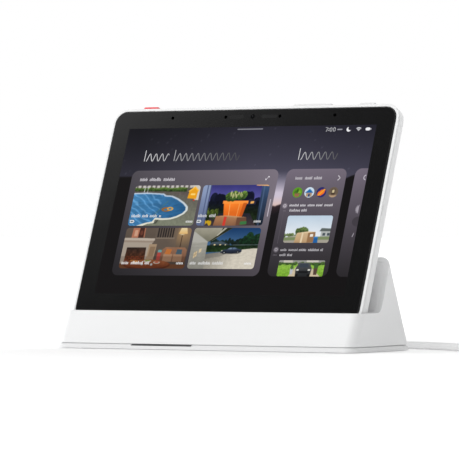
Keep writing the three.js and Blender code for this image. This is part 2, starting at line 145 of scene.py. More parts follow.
WHITE = surface("white_shell", (0.835, 0.84, 0.842), 0.44, grain=2600, bump=0.05, tone=0.006, spec=0.4)
WHITE_DOCK = surface("white_dock", (0.845, 0.85, 0.853), 0.46, grain=2200, bump=0.06, tone=0.006, spec=0.38)
WHITE_KEY = surface("white_button", (0.83, 0.83, 0.832), 0.38, grain=2600, bump=0.03, tone=0.005)
RED = surface("red_button", (0.86, 0.045, 0.06), 0.33, grain=2000, bump=0.03, tone=0.05, sss=0.25, coat=0.2)
PAD = surface("soft_pad", (0.88, 0.88, 0.885), 0.72, grain=3000, bump=0.10, tone=0.03, spec=0.25)
FOOT = surface("foot_rubber", (0.19, 0.19, 0.195), 0.8, grain=1600, bump=0.2, tone=0.08, spec=0.3)
BLACK = surface("dark_plastic", (0.022, 0.022, 0.024), 0.5, grain=2200, bump=0.08, tone=0.1)
STEEL = surface("steel", (0.62, 0.63, 0.64), 0.28, metal=1.0, grain=500, bump=0.03, tone=0.04, stretch=(1, 1, 9), rough_var=0.1)
GOLD = surface("contact_gold", (0.85, 0.62, 0.26), 0.22, metal=1.0, grain=900, bump=0.02, tone=0.05)
BOARD = surface("circuit_board", (0.018, 0.115, 0.055), 0.45, grain=1800, bump=0.25, tone=0.25, coat=0.3)
FLEX = surface("flex_circuit", (0.42, 0.19, 0.04), 0.35, grain=1500, bump=0.1, tone=0.15)
FOIL = surface("battery_wrap", (0.30, 0.31, 0.33), 0.42, grain=300, bump=0.3, tone=0.08)
WINDOW = surface("smoked_window", (0.075, 0.076, 0.082), 0.36, grain=1800, bump=0.03, tone=0.12, spec=0.45)
JACKET = surface("lead_jacket", (0.82, 0.82, 0.822), 0.34, grain=1300, bump=0.05, tone=0.02, spec=0.4)
STRAP = surface("tie_strap", (0.095, 0.095, 0.1), 0.9, grain=1700, bump=0.9, tone=0.2, sheen=0.4, spec=0.2)
GLASSY = surface("black_glass", (0.0042, 0.0042, 0.0044), 0.09, grain=60, bump=0.0, tone=0.15, rough_var=0.02, spec=0.5)

SLOT_MATERIAL = {
    "white_shell": WHITE, "white_button": WHITE_KEY, "red_button": RED, "soft_pad": PAD, "foot_rubber": FOOT,
    "dark_plastic": BLACK, "steel": STEEL, "contact_gold": GOLD, "circuit_board": BOARD, "flex_circuit": FLEX,
    "battery_wrap": FOIL, "smoked_window": WINDOW, "lead_jacket": JACKET, "tie_strap": STRAP, "black_glass": GLASSY,
}
for part in frame["record"]["subparts"]:
    o = NODES[part["node"]]
    o.data.materials.clear()
    o.data.materials.append(SLOT_MATERIAL[part["material_slot"]])

_inks = {}


def ink(rgb, gloss=0.06):
    """A flat self-lit colour of the display."""
    key = (tuple(int(c) for c in rgb), gloss)
    if key not in _inks:
        m, nt, p = shader("lit_%02x%02x%02x" % key[0])
        r, g, b = lin(rgb)
        p.inputs["Base Color"].default_value = (0, 0, 0, 1)
        p.inputs["Emission Color"].default_value = (r, g, b, 1)
        p.inputs["Emission Strength"].default_value = 1.0
        p.inputs["Roughness"].default_value = 0.2
        p.inputs["Specular IOR Level"].default_value = gloss
        _inks[key] = m
    return _inks[key]


def plain(name, rgb, rough=0.3, spec=0.5):
    m, nt, p = shader(name)
    p.inputs["Base Color"].default_value = (*lin(rgb), 1)
    p.inputs["Roughness"].default_value = rough
    p.inputs["Specular IOR Level"].default_value = spec
    return m


def painted(name):
    """Self-lit, with its colour on the mesh's own points."""
    m, nt, p = shader(name)
    a = nt.nodes.new("ShaderNodeVertexColor")
    a.layer_name = "tone"
    nt.links.new(a.outputs["Color"], p.inputs["Emission Color"])
    p.inputs["Base Color"].default_value = (0, 0, 0, 1)
    p.inputs["Emission Strength"].default_value = 1.0
    p.inputs["Roughness"].default_value = 0.2
    p.inputs["Specular IOR Level"].default_value = 0.06
    return m


# ------------------------------------------------------------------ mesh helpers, all in mm
def mesh_object(name, verts, faces, mats, body, stands_for=(), smooth=True, sharp=32, index=None, weighted=True):
    me = bpy.data.meshes.new(name)
    me.from_pydata([(x / 1000, y / 1000, z / 1000) for x, y, z in verts], [], faces)
    for m in mats if isinstance(mats, (list, tuple)) else [mats]:
        me.materials.append(m)
    if index is not None:
        me.polygons.foreach_set("material_index", index)
    me.validate()
    o = bpy.data.objects.new(name, me)
    bpy.context.scene.collection.objects.link(o)
    if smooth:
        me.polygons.foreach_set("use_smooth", [True] * len(me.polygons))
        if sharp:
            me.set_sharp_from_angle(angle=math.radians(sharp))
        if weighted:
            w = o.modifiers.new("normals", "WEIGHTED_NORMAL")
            w.keep_sharp = True
            w.weight = 80
    me.update()
    if body:
        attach(o, body)
    if stands_for:
        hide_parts(*stands_for)
    return o


def outline(x0, x1, y0, y1, r, seg=14, inset=0.0):
    """Points of a rounded rectangle, counter-clockwise, always 4 * (seg + 1) of them."""
    x0, x1, y0, y1, r = x0 + inset, x1 - inset, y0 + inset, y1 - inset, max(r - inset, 0.02)
    pts = []
    for cx, cy, a0 in ((x1 - r, y0 + r, -90), (x1 - r, y1 - r, 0), (x0 + r, y1 - r, 90), (x0 + r, y0 + r, 180)):
        for i in range(seg + 1):
            a = math.radians(a0 + 90 * i / seg)
            pts.append((cx + r * math.cos(a), cy + r * math.sin(a)))
    return pts


def loft(rings, cap0=True, cap1=True, loop=False):
    """Faces through rings of points of equal count. Ring order sets which side is out."""
    n = len(rings[0])
    verts = [p for ring in rings for p in ring]
    faces = []
    k = len(rings)
    for i in range(k if loop else k - 1):
        a, b = i * n, ((i + 1) % k) * n
        for j in range(n):
            jj = (j + 1) % n
            faces.append((a + j, a + jj, b + jj, b + j))
    if not loop and cap0:
        faces.append(tuple(reversed(range(n))))
    if not loop and cap1:
        faces.append(tuple(range((k - 1) * n, k * n)))
    return verts, faces


def arc(r, steps, first=True):
    """(inset, rise) pairs of a quarter round of radius r: from the wall up to the flat."""
    return [(r * (1 - math.cos(math.pi / 2 * i / steps)), r * math.sin(math.pi / 2 * i / steps)) for i in range(0 if first else 1, steps + 1)]


def solid(verts, faces):
    """A scratch object in mm for boolean work."""
    me = bpy.data.meshes.new("scratch")
    me.from_pydata(verts, [], faces)
    bm = bmesh.new()
    bm.from_mesh(me)
    bmesh.ops.recalc_face_normals(bm, faces=bm.faces)
    bm.to_mesh(me)
    bm.free()
    o = bpy.data.objects.new("scratch", me)
    bpy.context.scene.collection.objects.link(o)
    return o


def boolean(a, b, how):
    m = a.modifiers.new("b", "BOOLEAN")
    m.object, m.operation, m.solver = b, how, "EXACT"
    bake(a)
    bpy.data.objects.remove(b, do_unlink=True)
    return a


def bake(o):
    dg = bpy.context.evaluated_depsgraph_get()
    me = bpy.data.meshes.new_from_object(o.evaluated_get(dg))
    o.modifiers.clear()
    o.data = me


def merge(*objs):
    bm = bmesh.new()
    for o in objs:
        bm.from_mesh(o.data)
        bpy.data.objects.remove(o, do_unlink=True)
    me = bpy.data.meshes.new("scratch")
    bm.to_mesh(me)
    bm.free()
    o = bpy.data.objects.new("scratch", me)
    bpy.context.scene.collection.objects.link(o)
    return o


def prism_x(points, x0, x1):
    return solid(*loft([[(x0, y, z) for y, z in points], [(x1, y, z) for y, z in points]]))


def plate_z(pts, z0, z1, lean=0.0):
    return solid(*loft([[(x, y + lean * (z - BASE_Z), z) for x, y in pts] for z in (z0, z1)]))


def plate_tab(pts, n0, n1):
    return solid(*loft([[tab((x, v, n)) for x, v in pts] for n in (n0, n1)]))


def rod(axis, a, b, r, lo, hi, seg=32):
    ring = [(r * math.cos(2 * math.pi * i / seg), r * math.sin(2 * math.pi * i / seg)) for i in range(seg)]
    if axis == "z":
        return solid(*loft([[(a + p, b + q, z) for p, q in ring] for z in (lo, hi)]))
    return solid(*loft([[(a + p, y, b + q) for p, q in ring] for y in (lo, hi)]))


def finish_solid(o, name, mat, body, stands_for=(), bevel=0.5, segments=3, limit=34):
    """Tidies a boolean result, rounds its edges and turns it into a piece."""
    bm = bmesh.new()
    bm.from_mesh(o.data)
    bmesh.ops.remove_doubles(bm, verts=bm.verts, dist=0.004)
    bmesh.ops.dissolve_limit(bm, angle_limit=math.radians(0.4), verts=bm.verts, edges=bm.edges)
    bmesh.ops.recalc_face_normals(bm, faces=bm.faces)
    bm.to_mesh(o.data)
    bm.free()
    if bevel:
        m = o.modifiers.new("edge", "BEVEL")
        m.width, m.segments, m.limit_method, m.angle_limit = bevel, segments, "ANGLE", math.radians(limit)
        m.miter_outer = "MITER_ARC"
        m.use_clamp_overlap = True
        m.harden_normals = False
        bake(o)
    verts = [tuple(v.co) for v in o.data.vertices]
    faces = [tuple(p.vertices) for p in o.data.polygons]
    bpy.data.objects.remove(o, do_unlink=True)
    return mesh_object(name, verts, faces, mat, body, stands_for)


# ------------------------------------------------------------------ camera
cam_data = bpy.data.cameras.new("camera")
cam_data.lens, cam_data.sensor_width = 284.6, 36.0
cam_data.clip_start, cam_data.clip_end = 0.05, 200.0
camera = bpy.data.objects.new("camera", cam_data)
bpy.context.scene.collection.objects.link(camera)
camera.location = (1.1105, -1.85145, 0.0682)
camera.rotation_euler = (math.radians(90.079), 0, math.radians(30.991))
bpy.context.scene.camera = camera


# ------------------------------------------------------------------ power lead
def catmull(points, step=1.2):
    pts = [Vector(p) for p in points]
    pts = [pts[0] * 2 - pts[1]] + pts + [pts[-1] * 2 - pts[-2]]
    out = []
    for i in range(1, len(pts) - 2):
        p0, p1, p2, p3 = pts[i - 1:i + 3]
        t0 = 0.0
        t1 = t0 + max((p1 - p0).length, 1e-6) ** 0.5
        t2 = t1 + max((p2 - p1).length, 1e-6) ** 0.5
        t3 = t2 + max((p3 - p2).length, 1e-6) ** 0.5
        n = max(2, int((p2 - p1).length / step))
        for k in range(n):
            t = t1 + (t2 - t1) * k / n
            a1 = p0 * ((t1 - t) / (t1 - t0)) + p1 * ((t - t0) / (t1 - t0))
            a2 = p1 * ((t2 - t) / (t2 - t1)) + p2 * ((t - t1) / (t2 - t1))
            a3 = p2 * ((t3 - t) / (t3 - t2)) + p3 * ((t - t2) / (t3 - t2))
            b1 = a1 * ((t2 - t) / (t2 - t0)) + a2 * ((t - t0) / (t2 - t0))
            b2 = a2 * ((t3 - t) / (t3 - t1)) + a3 * ((t - t1) / (t3 - t1))
            out.append(b1 * ((t2 - t) / (t2 - t1)) + b2 * ((t - t1) / (t2 - t1)))
    out.append(pts[-2])
    return out


WALL_Y = yr(EXIT_Z)
RELIEF_END = WALL_Y + 14
run = [(0, RELIEF_END - 6, EXIT_Z), (0, RELIEF_END + 0.35, EXIT_Z), (0, RELIEF_END + 4, EXIT_Z - 0.15), (1.4, RELIEF_END + 11, 7.6), (6.6, RELIEF_END + 19, 4.9),
       (16, RELIEF_END + 26, 3.0), (30, RELIEF_END + 28.8, 2.3), (47, 73.6, 2.3), (66, 68.2, 2.3), (89.3, 59.4, 2.3),
       (109, 51.0, 2.3), (126.5, 41.4, 2.3), (135.2, 34.2, 2.3), (141.5, 27.6, 2.3), (147.5, 23.2, 2.3), (155, 21.3, 2.3), (163, 21.0, 2.3)]
# turns of the stored lead: angle from where it joins the coil, radius of the turn, height
KEYS = [(0, 29.5, 2.3), (320, 29.5, 2.3), (360, 25, 2.3), (680, 25, 2.3), (720, 20.5, 2.3), (1000, 20.5, 2.3), (1040, 20.5, 6.8), (1320, 20.5, 6.8),
        (1360, 25, 6.8), (1640, 25, 6.8), (1680, 29.5, 6.8), (1960, 29.5, 6.8), (2000, 29.5, 11.3), (2280, 29.5, 11.3), (2320, 25, 11.3), (2640, 25, 11.3),
        (2680, 20.5, 11.3), (2722, 20.5, 11.3)]
turns = []
a = 0.0
while a <= KEYS[-1][0] + 1e-6:
    for (a0, r0, z0), (a1, r1, z1) in zip(KEYS, KEYS[1:]):
        if a0 <= a <= a1:
            t = (a - a0) / (a1 - a0)
            t = t * t * (3 - 2 * t)
            r, z = r0 + (r1 - r0) * t, z0 + (z1 - z0) * t
    q = math.radians(a - 90)
    turns.append(Vector((COIL[0] + r * math.cos(q), COIL[1] + r * math.sin(q), z)))
    a += 8.0
tail = []
for deg, r, z in ((120, 21.0, 12.8), (133, 22.6, 15.0), (147, 25.0, 16.0), (159, 27.2, 16.2)):
    q = math.radians(deg)
    tail.append((COIL[0] + r * math.cos(q), COIL[1] + r * math.sin(q), z))
tail += [(COIL[0] - 27.8, COIL[1] + 3.0, 16.3), (COIL[0] - 27.6, COIL[1] - 3.6, 16.9), (COIL[0] - 25.2, COIL[1] - 9.4, 17.6),
         (COIL[0] - 21.6, COIL[1] - 12.9, 17.9), (COIL[0] - 18.2, COIL[1] - 14, 17.9), (COIL[0] - 13, COIL[1] - 14, 17.9)]
line = catmull(run + [tuple(p) for p in turns[1:]] + tail)
lead_length = sum((q - p).length for p, q in zip(line, line[1:])) / 1000
print("lead length %.3f m" % lead_length)
cd = bpy.data.curves.new("power_lead", "CURVE")
cd.dimensions = "3D"
cd.bevel_depth, cd.bevel_resolution = CORD_R / 1000, 5
cd.use_fill_caps = True
sp = cd.splines.new("POLY")
keep = line[::2] + ([line[-1]] if len(line) % 2 == 0 else [])
sp.points.add(len(keep) - 1)
for i, p in enumerate(keep):
    sp.points[i].co = (*(p / 1000), 1)
sp.use_smooth = True
lead = bpy.data.objects.new("power_lead", cd)
cd.materials.append(JACKET)
bpy.context.scene.collection.objects.link(lead)
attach(lead, "root")
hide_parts("cord", "cord_coil")


def lathe(profile, place, seg=40):
    """profile is (radius, distance along the axis) from start to end; place turns (distance, p, q) into a point."""
    rings = []
    for r, d in profile:
        rings.append([place(d, r * math.cos(2 * math.pi * i / seg), r * math.sin(2 * math.pi * i / seg)) for i in range(seg)])
    return loft(rings)


# strain relief: a tapered sleeve with five grooves, that starts inside the wall
prof = [(0.6, 24.3), (3.9, 24.3), (3.9, 26.1), (3.3, 26.4), (3.3, WALL_Y + 0.6), (3.22, WALL_Y + 1.2)]
for i in range(5):
    y = WALL_Y + 2.2 + i * 2.1
    r = 3.15 - 0.13 * i
    prof += [(r, y - 0.55), (r - 0.12, y - 0.4), (r - 0.6, y - 0.3), (r - 0.62, y + 0.3), (r - 0.16, y + 0.4), (r - 0.05, y + 0.55)]
prof += [(2.56, RELIEF_END - 0.4), (2.46, RELIEF_END - 0.1), (2.3, RELIEF_END - 0.02)]
v, f = lathe(prof, lambda d, p, q: (p, d, EXIT_Z + q))
relief = mesh_object("strain_relief_sleeve", v, [tuple(reversed(x)) for x in f], JACKET, "root", ("strain_relief",), sharp=40, weighted=False)

# plug: moulded body with a ribbed boot and grip lines, metal shell with tongue
PY, PZ, PX = COIL[1] - 14, 17.9, COIL[0]


def box_ring(x, hy, hz, r, seg=8):
    return [(x, PY + p, PZ + q) for p, q in outline(-hy, hy, -hz, hz, r, seg)]


rings = [box_ring(PX - 15.0, 2.35, 2.35, 2.33), box_ring(PX - 14.7, 2.6, 2.6, 2.58)]
for i in range(3):
    x = PX - 13.6 + i * 2.2
    rings += [box_ring(x, 2.7 + 0.1 * i, 2.7 + 0.1 * i, 2.6), box_ring(x + 0.15, 2.35, 2.35, 2.3), box_ring(x + 0.75, 2.4, 2.4, 2.35), box_ring(x + 0.9, 2.78 + 0.1 * i, 2.78 + 0.1 * i, 2.6)]
rings += [box_ring(PX - 6.7, 3.2, 3.0, 2.7), box_ring(PX - 6.3, 5.4, 3.25, 2.6), box_ring(PX - 5.4, 6.9, 3.6, 2.6), box_ring(PX - 4.0, 7.7, 3.9, 2.6), box_ring(PX - 2.4, 8.0, 4.0, 2.6)]
for i in range(4):
    x = PX + 1.6 + i * 1.7
    rings += [box_ring(x, 8.0, 4.0, 2.6), box_ring(x + 0.12, 7.72, 3.78, 2.5), box_ring(x + 0.55, 7.72, 3.78, 2.5), box_ring(x + 0.67, 8.0, 4.0, 2.6)]
rings += [box_ring(PX + 16.3, 8.0, 4.0, 2.6), box_ring(PX + 16.9, 7.85, 3.86, 2.5), box_ring(PX + 17.3, 7.5, 3.5, 2.3), box_ring(PX + 17.5, 7.0, 3.0, 2.0)]
v, f = loft(rings)
plug = mesh_object("plug_moulding", v, f, JACKET, "root", ("plug_body",), sharp=48)
plug_metal = NODES["plug_shell"]
m = plug_metal.modifiers.new("edge", "BEVEL")
m.width, m.segments, m.limit_method, m.angle_limit = 0.00022, 3, "ANGLE", math.radians(40)
rings = [[(x, PY + p, PZ - 1.15 + q) for p, q in outline(-5.2, 5.2, -0.85, 0.85, 0.25, 4, i)] for x, i in ((PX + 19.8, 0), (PX + 29.9, 0), (PX + 30.3, 0.3))]
v, f = loft(rings)
tongue = mesh_object("plug_tongue", v, f, BLACK, "root")
for i, y in enumerate((-3.5, -1.05, 1.05, 3.5)):
    rings = [[(x, PY + y + p, PZ - 0.2 + q) for p, q in outline(-0.55, 0.55, -0.1, 0.12, 0.1, 2)] for x in (PX + 20.0, PX + 29.0)]
    v, f = loft(rings)
    c = mesh_object("plug_contact_%d" % (i + 1), v, f, GOLD, "root", weighted=False)

# hook and loop tie over the bundle, with its free end folded over
c0, c1 = 18.25, 31.75
path = []
inner, outer, top, rad = c0 - 1.25, c1 + 0.95, 14.1, 1.7


def tie_path():
    p = [(inner, 0.15), (inner, top - rad)]
    p += [(inner + rad - rad * math.cos(t), top - rad + rad * math.sin(t)) for t in np.linspace(0.2, math.pi / 2, 7)]
    p += [(outer - rad + rad * math.sin(t), top - rad + rad * math.cos(t)) for t in np.linspace(0, math.pi / 2, 7)]
    p += [(outer, 0.15)]
    return p


def strap(path, half, thick, turn, name):
    left, out = [], []
    n = len(path)
    rings = []
    for i, (r, z) in enumerate(path):
        r0, z0 = path[max(i - 1, 0)]
        r1, z1 = path[min(i + 1, n - 1)]
        d = Vector((r1 - r0, z1 - z0)).normalized()
        nr, nz = -d.y, d.x
        ring = []
        for w, t in ((-half, 0), (-half + 0.25, -thick / 2), (half - 0.25, -thick / 2), (half, 0), (half - 0.25, thick / 2), (-half + 0.25, thick / 2)):
            rr, zz = r + nr * t, z + nz * t
            x, y = w, rr
            ca, sa = math.cos(turn), math.sin(turn)
            ring.append((COIL[0] + x * ca - y * sa, COIL[1] + x * sa + y * ca, zz))
        rings.append(ring)
    v, f = loft(rings)
    return v, f


v, f = strap(tie_path(), 4.0, 0.9, -math.pi / 6, "tie")
tie = mesh_object("tie_strap_band", v, f, STRAP, "root", ("cord_tie",), sharp=50, weighted=False)
flap = [(c0 + 3.0, 14.95), (c0 + 6, 15.0), (c0 + 9, 14.98), (c0 + 11.6, 14.92)]
v, f = strap(flap, 3.9, 0.7, -math.pi / 6, "flap")
tie_end = mesh_object("tie_strap_end", v, f, STRAP, "root", sharp=50, weighted=False)

# ------------------------------------------------------------------ tablet shells
# cover glass with a softly rounded front edge
rings = [[tab((x, y, n)) for x, y in outline(*GLASS, 16, i)] for i, n in [(0.12, -1.1), (0.0, -0.98)] + [(a, -0.5 + b) for a, b in arc(0.5, 6)]]
v, f = loft(rings)
glass = mesh_object("front_glass", v, f, GLASSY, "tablet", ("cover_glass",), sharp=60)

# bezel ring
sec = [(0.1, -1.6), (0.0, -1.5), (0.0, -1.0)] + [(a, -1.0 + b) for a, b in arc(0.4, 5, False)]
inner_i = 1.75
sec += [(inner_i - 0.25 + 0.25 * math.sin(t), -0.6 - 0.25 + 0.25 * math.cos(t)) for t in np.linspace(0, math.pi / 2, 4)] + [(inner_i, -1.6)]
rings = [[tab((x, y, n)) for x, y in outline(*BODY, 18, i)] for i, n in sec]
v, f = loft(rings, loop=True)
bezel = mesh_object("bezel_ring_trim", v, f, WHITE, "tablet", ("bezel_ring",), sharp=40)

# rear cover: thin edge, raised middle, walls of real thickness
SEG = 16
rings = []
bulge_in = [(1.6 + 5.4 * (1 - math.cos(t)), -10.1 - 5.4 * math.sin(t)) for t in np.linspace(math.pi / 2, 0, 6)]
for i, n in bulge_in:
    rings.append([tab((x, y, n)) for x, y in outline(*BULGE, SEG, i)])
rings.append([tab((x, y, -7.0)) for x, y in outline(*BULGE, SEG, 1.6)])
rings.append([tab((x, y, -7.0)) for x, y in outline(*BODY, SEG, 2.4)])
rings.append([tab((x, y, -6.2)) for x, y in outline(*BODY, SEG, 1.6)])
rings.append([tab((x, y, -1.9)) for x, y in outline(*BODY, SEG, 1.6)])
rings.append([tab((x, y, -1.9)) for x, y in outline(*BODY, SEG, 0.3)])
rings.append([tab((x, y, -1.99)) for x, y in outline(*BODY, SEG, 0.09)])
rings.append([tab((x, y, -2.2)) for x, y in outline(*BODY, SEG, 0.0)])
for i, b in arc(2.2, 8):
    rings.append([tab((x, y, -6.4 - b)) for x, y in outline(*BODY, SEG, i)])
for t in np.linspace(0, math.pi / 2, 5):           # foot of the raised middle, softly blended
    i = -1.0 + math.sin(t) * 1.0
    rings.append([tab((x, y, -8.6 - (1 - math.cos(t)) * 1.0)) for x, y in outline(*BULGE, SEG, i)])
rings.append([tab((x, y, -10.1)) for x, y in outline(*BULGE, SEG, 0)])
for i, b in arc(7.0, 12, False):
    rings.append([tab((x, y, -10.1 - b)) for x, y in outline(*BULGE, SEG, i)])
cover = solid(*loft(rings))
cutters = []
for _, x, l in BUTTONS:
    pts = outline(x - l / 2 - 0.3, x + l / 2 + 0.3, -6.3, -2.7, 1.5, 8)
    cutters.append(solid(*loft([[tab((p, vv, q)) for p, q in pts] for vv in (64.5, 72)])))
cutters.append(solid(*loft([[tab((p, vv, q)) for p, q in outline(-13.3, 13.3, -6.6, -3.0, 0.6, 4)] for vv in (-74, -68.5)])))
for s in (-1, 1):
    for i in range(-4, 5):
        x = s * 60 + i * 2.0
        h = 20 - 0.32 * i * i
        cutters.append(solid(*loft([[tab((p, q, n)) for p, q in outline(x - 0.45, x + 0.45, -16 - h, -16 + h, 0.44, 5)] for n in (-19, -14.0)])))
cover = boolean(cover, merge(*cutters), "DIFFERENCE")
rear = finish_solid(cover, "rear_shell", WHITE, "tablet", ("rear_cover",), bevel=0)

# dark mesh behind the speaker slots
for s, nm in ((-1, "left"), (1, "right")):
    v, f = loft([[tab((p, q, n)) for p, q in outline(s * 60 - 9.6, s * 60 + 9.6, -38, 6, 2, 4)] for n in (-15.35, -15.1)])
    mesh_object("speaker_cloth_" + nm, v, [tuple(reversed(x)) for x in f], BLACK, "tablet")

# buttons with rounded, slightly crowned caps
for name, x, l in BUTTONS:
    mat = RED if name == "sos_button" else WHITE_KEY
    rings = []
    for i, h in [(-0.8, 64.4), (-0.8, 65.3), (0.0, 65.4), (0.0, 69.0)] + [(a, 69.0 + b) for a, b in arc(0.55, 5, False)] + [(1.0, 69.66), (1.3, 69.7)]:
        if i < 0:
            pts = outline(x - l / 2 + i, x + l / 2 - i, -6.1, -2.6, 0.4, 8)
        else:
            pts = outline(x - l / 2, x + l / 2, -6.0, -3.0, 1.3, 8, i)
        rings.append([tab((p, h, q)) for p, q in pts])
    v, f = loft(rings)
    mesh_object(name + "_cap", v, [tuple(reversed(q)) for q in f], mat, name, (name,), sharp=50)
    if name == "volume_rocker":                     # two small raised marks that the finger finds
        for k, dx in enumerate((-8.5, 8.5)):
            rings = [[tab((x + dx + 0.75 * math.cos(2 * math.pi * j / 20) * q, 69.68 + h, -4.5 + 0.75 * math.sin(2 * math.pi * j / 20) * q)) for j in range(20)] for q, h in ((1.0, 0.0), (1.0, 0.08), (0.85, 0.16), (0.55, 0.2))]
            v, f = loft(rings)
            mesh_object("volume_mark_%d" % (k + 1), v, f, WHITE_KEY, name)

# ------------------------------------------------------------------ dock
restFoot = yn(LIP_Z, REST_N)
p0, p1, p2 = (yn(LIP_Z + 3.6, REST_N), LIP_Z + 3.6), (restFoot, LIP_Z), (restFoot - 3.6, LIP_Z)
foot_curve = [tuple((1 - t) ** 2 * a + 2 * t * (1 - t) * b + t * t * c for a, b, c in zip(p0, p1, p2)) for t in np.linspace(0, 1, 8)]


def envelope(inset, z0=-5.0, z1=70.0):
    h, r = DOCK_HALF - inset, DOCK_R - inset * 0.6
    fr = plate_z(outline(-h, h, FRONT_Y + inset, 160, r, 20), z0, z1, FRONT_LEAN)
    bk = plate_z(outline(-h, h, -160, REAR_Y - inset, r, 20), z0, z1, -REAR_LEAN)
    return boolean(fr, bk, "INTERSECT")


profile = [(yf(HOUSING_Z) - 5, HOUSING_Z), (60, HOUSING_Z), (60, 70), (yn(70, REST_N), 70)] + foot_curve + [(yf(LIP_Z) - 5, LIP_Z)]
housing = boolean(prism_x(profile, -120, 120), envelope(0), "INTERSECT")
housing = boolean(housing, plate_tab(outline(-DOCK_HALF, DOCK_HALF, -260, RIDGE_V, DOCK_R, 20), -160, 160), "INTERSECT")
CAV_N = REST_N - 1.2 - 1.7
cavity = [(yf(0) + 2.3, 0), (yr(0) - 2.5, 0), (yr(47) - 2.5, 47), (yn(47, CAV_N), 47), (yn(LIP_Z - 2.4, CAV_N), LIP_Z - 2.4),
          (yn(LIP_Z - 2.4, -11.0), LIP_Z - 2.4), (yn(10.3, -11.0), 10.3), (yn(13.3, 0.3) + 0.4, 13.3), (yf(13.3) + 2.7, 13.3)]
hollow = boolean(prism_x(cavity, -120, 120), envelope(2.3), "INTERSECT")
housing = boolean(housing, hollow, "DIFFERENCE")
for tool in (plate_tab(outline(-100.1, 100.1, POCKET_FLOOR, 120, 4, 12), -9.0, 0.3),
             plate_tab(outline(-99.7, 99.7, -57.8, RIDGE_V - 2.9, 4.8, 12), REST_N - 1.2, REST_N + 3),
             solid(*loft([[tab((p, q, n)) for p, q in outline(-17.3, 17.3, -90, -70, 1, 4)] for n in (-7.1, -2.3)])),
             rod("y", 0, EXIT_Z, 3.7, 20, 45)):
    housing = boolean(housing, tool, "DIFFERENCE")
finish_solid(housing, "dock_shell", WHITE_DOCK, "root", ("dock_housing",), bevel=0.55)

# base plate
def band(z0, z1, inset):
    e = envelope(inset)
    b = prism_x([(-60, z0), (60, z0), (60, z1), (-60, z1)], -130, 130)
    return boolean(b, e, "INTERSECT")


base = boolean(band(BASE_Z, BASE_TOP, 0), boolean(band(2.5, 5.2, 3.0), band(2.9, 7, 4.3), "DIFFERENCE"), "UNION")
base = boolean(base, boolean(band(2.7, 3.38, 0.95), band(2.9, 7, 4.3), "DIFFERENCE"), "UNION")
tools = []
for x, y in ((-84, -25), (84, -25), (-84, 26), (84, 26)):
    tools.append(rod("z", x, y, 5.8, -1, 1.5, 40))
for x, y in ((-70, -24), (70, -24), (-70, 21), (70, 21)):
    tools.append(rod("z", x, y, 2.8, -1, 2.0))
w0, w1, g = 2.6, 3.2, 0.3
sl = lambda z: -6.8 + 0.4 * (z - w1)
pts = [(-48.3 - g, w0 - g), (sl(w0 - g) + 1.1 * g, w0 - g), (sl(3.4) + 1.1 * g, 3.4), (-48.3 - g, 3.4)]
tools.append(solid(*loft([[(x, y, z) for x, z in pts] for y in (-40, -29.6)])))
base = boolean(base, merge(*tools), "DIFFERENCE")
# the base plate's white is the dock's white made darker: painted shade at the foot of the dock
WHITE_BASE_SHADED = surface("white_base_painted_shade", (0.775, 0.78, 0.783), 0.48, grain=2200, bump=0.06, tone=0.006, spec=0.38)
finish_solid(base, "base_shell", WHITE_BASE_SHADED, "root", ("base_plate",), bevel=0.3, segments=2)

# soft pad of the back rest, with fine slanting ribs of its own
px0, px1, py0, py1 = -99.6, 99.6, -57.7, RIDGE_V - 3.0
rings = [[tab((x, y, n)) for x, y in outline(px0, px1, py0, py1, 4.5, 14, i)] for i, n in [(0, REST_N - 0.9), (0, REST_N - 0.25)] + [(a, REST_N - 0.25 + b) for a, b in arc(0.15, 4, False)]]
v, f = loft(rings)
mesh_object("rest_pad_sheet", v, f, PAD, "root", ("rest_pad",), sharp=50)


def clip(poly, hull):
    """poly cut to the convex, counter-clockwise hull."""
    out = poly
    n = len(hull)
    for i in range(n):
        (ax, ay), (bx, by) = hull[i], hull[(i + 1) % n]
        side = lambda p: (bx - ax) * (p[1] - ay) - (by - ay) * (p[0] - ax)
        src, out = out, []
        for j in range(len(src)):
            p, q = src[j - 1], src[j]
            sp_, sq = side(p), side(q)
            if (sp_ >= 0) != (sq >= 0):
                t = sp_ / (sp_ - sq)
                out.append((p[0] + (q[0] - p[0]) * t, p[1] + (q[1] - p[1]) * t))
            if sq >= 0:
                out.append(q)
        if len(out) < 3:
            return []
    return out


hull = outline(px0, px1, py0, py1, 4.5, 6, 1.3)
v, f = [], []
pitch, lean_v = 1.05, 1.0
span = py1 - py0
x = px0 - span * lean_v
while x < px1:
    quad = [(x, py0), (x + 0.52, py0), (x + 0.52 + span * lean_v, py1), (x + span * lean_v, py1)]
    c = clip(quad, hull)
    if len(c) >= 3:
        k, b = len(c), len(v)
        cx, cy = sum(p[0] for p in c) / k, sum(p[1] for p in c) / k
        v += [tab((p, q, REST_N - 0.1)) for p, q in c]
        v += [tab((p, q, REST_N + 0.02)) for p, q in c]
        f += [(b + i, b + (i + 1) % k, b + k + (i + 1) % k, b + k + i) for i in range(k)] + [tuple(range(b + k, b + 2 * k)), tuple(reversed(range(b, b + k)))]
    x += pitch
# painted shade: the field between the ribs is the pad's rubber made darker, so the grooves read dark
PAD_GROOVE_SHADE = surface("soft_pad_groove_painted_shade", (0.78, 0.78, 0.785), 0.75, grain=3000, bump=0.05, tone=0.02, spec=0.2)
vf, ff = loft([[tab((x, y, n)) for x, y in hull] for n in (REST_N - 0.5, REST_N - 0.075)])
mesh_object("rest_pad_field", vf, ff, PAD_GROOVE_SHADE, "root", sharp=50)
# painted light: the ribs are the pad's rubber made lighter than the sheet
PAD_RIB_LIGHT = surface("soft_pad_rib_painted_light", (0.96, 0.96, 0.965), 0.65, grain=3000, bump=0.08, tone=0.02, spec=0.25)
mesh_object("rest_pad_ribs", v, f, PAD_RIB_LIGHT, "root", smooth=False)

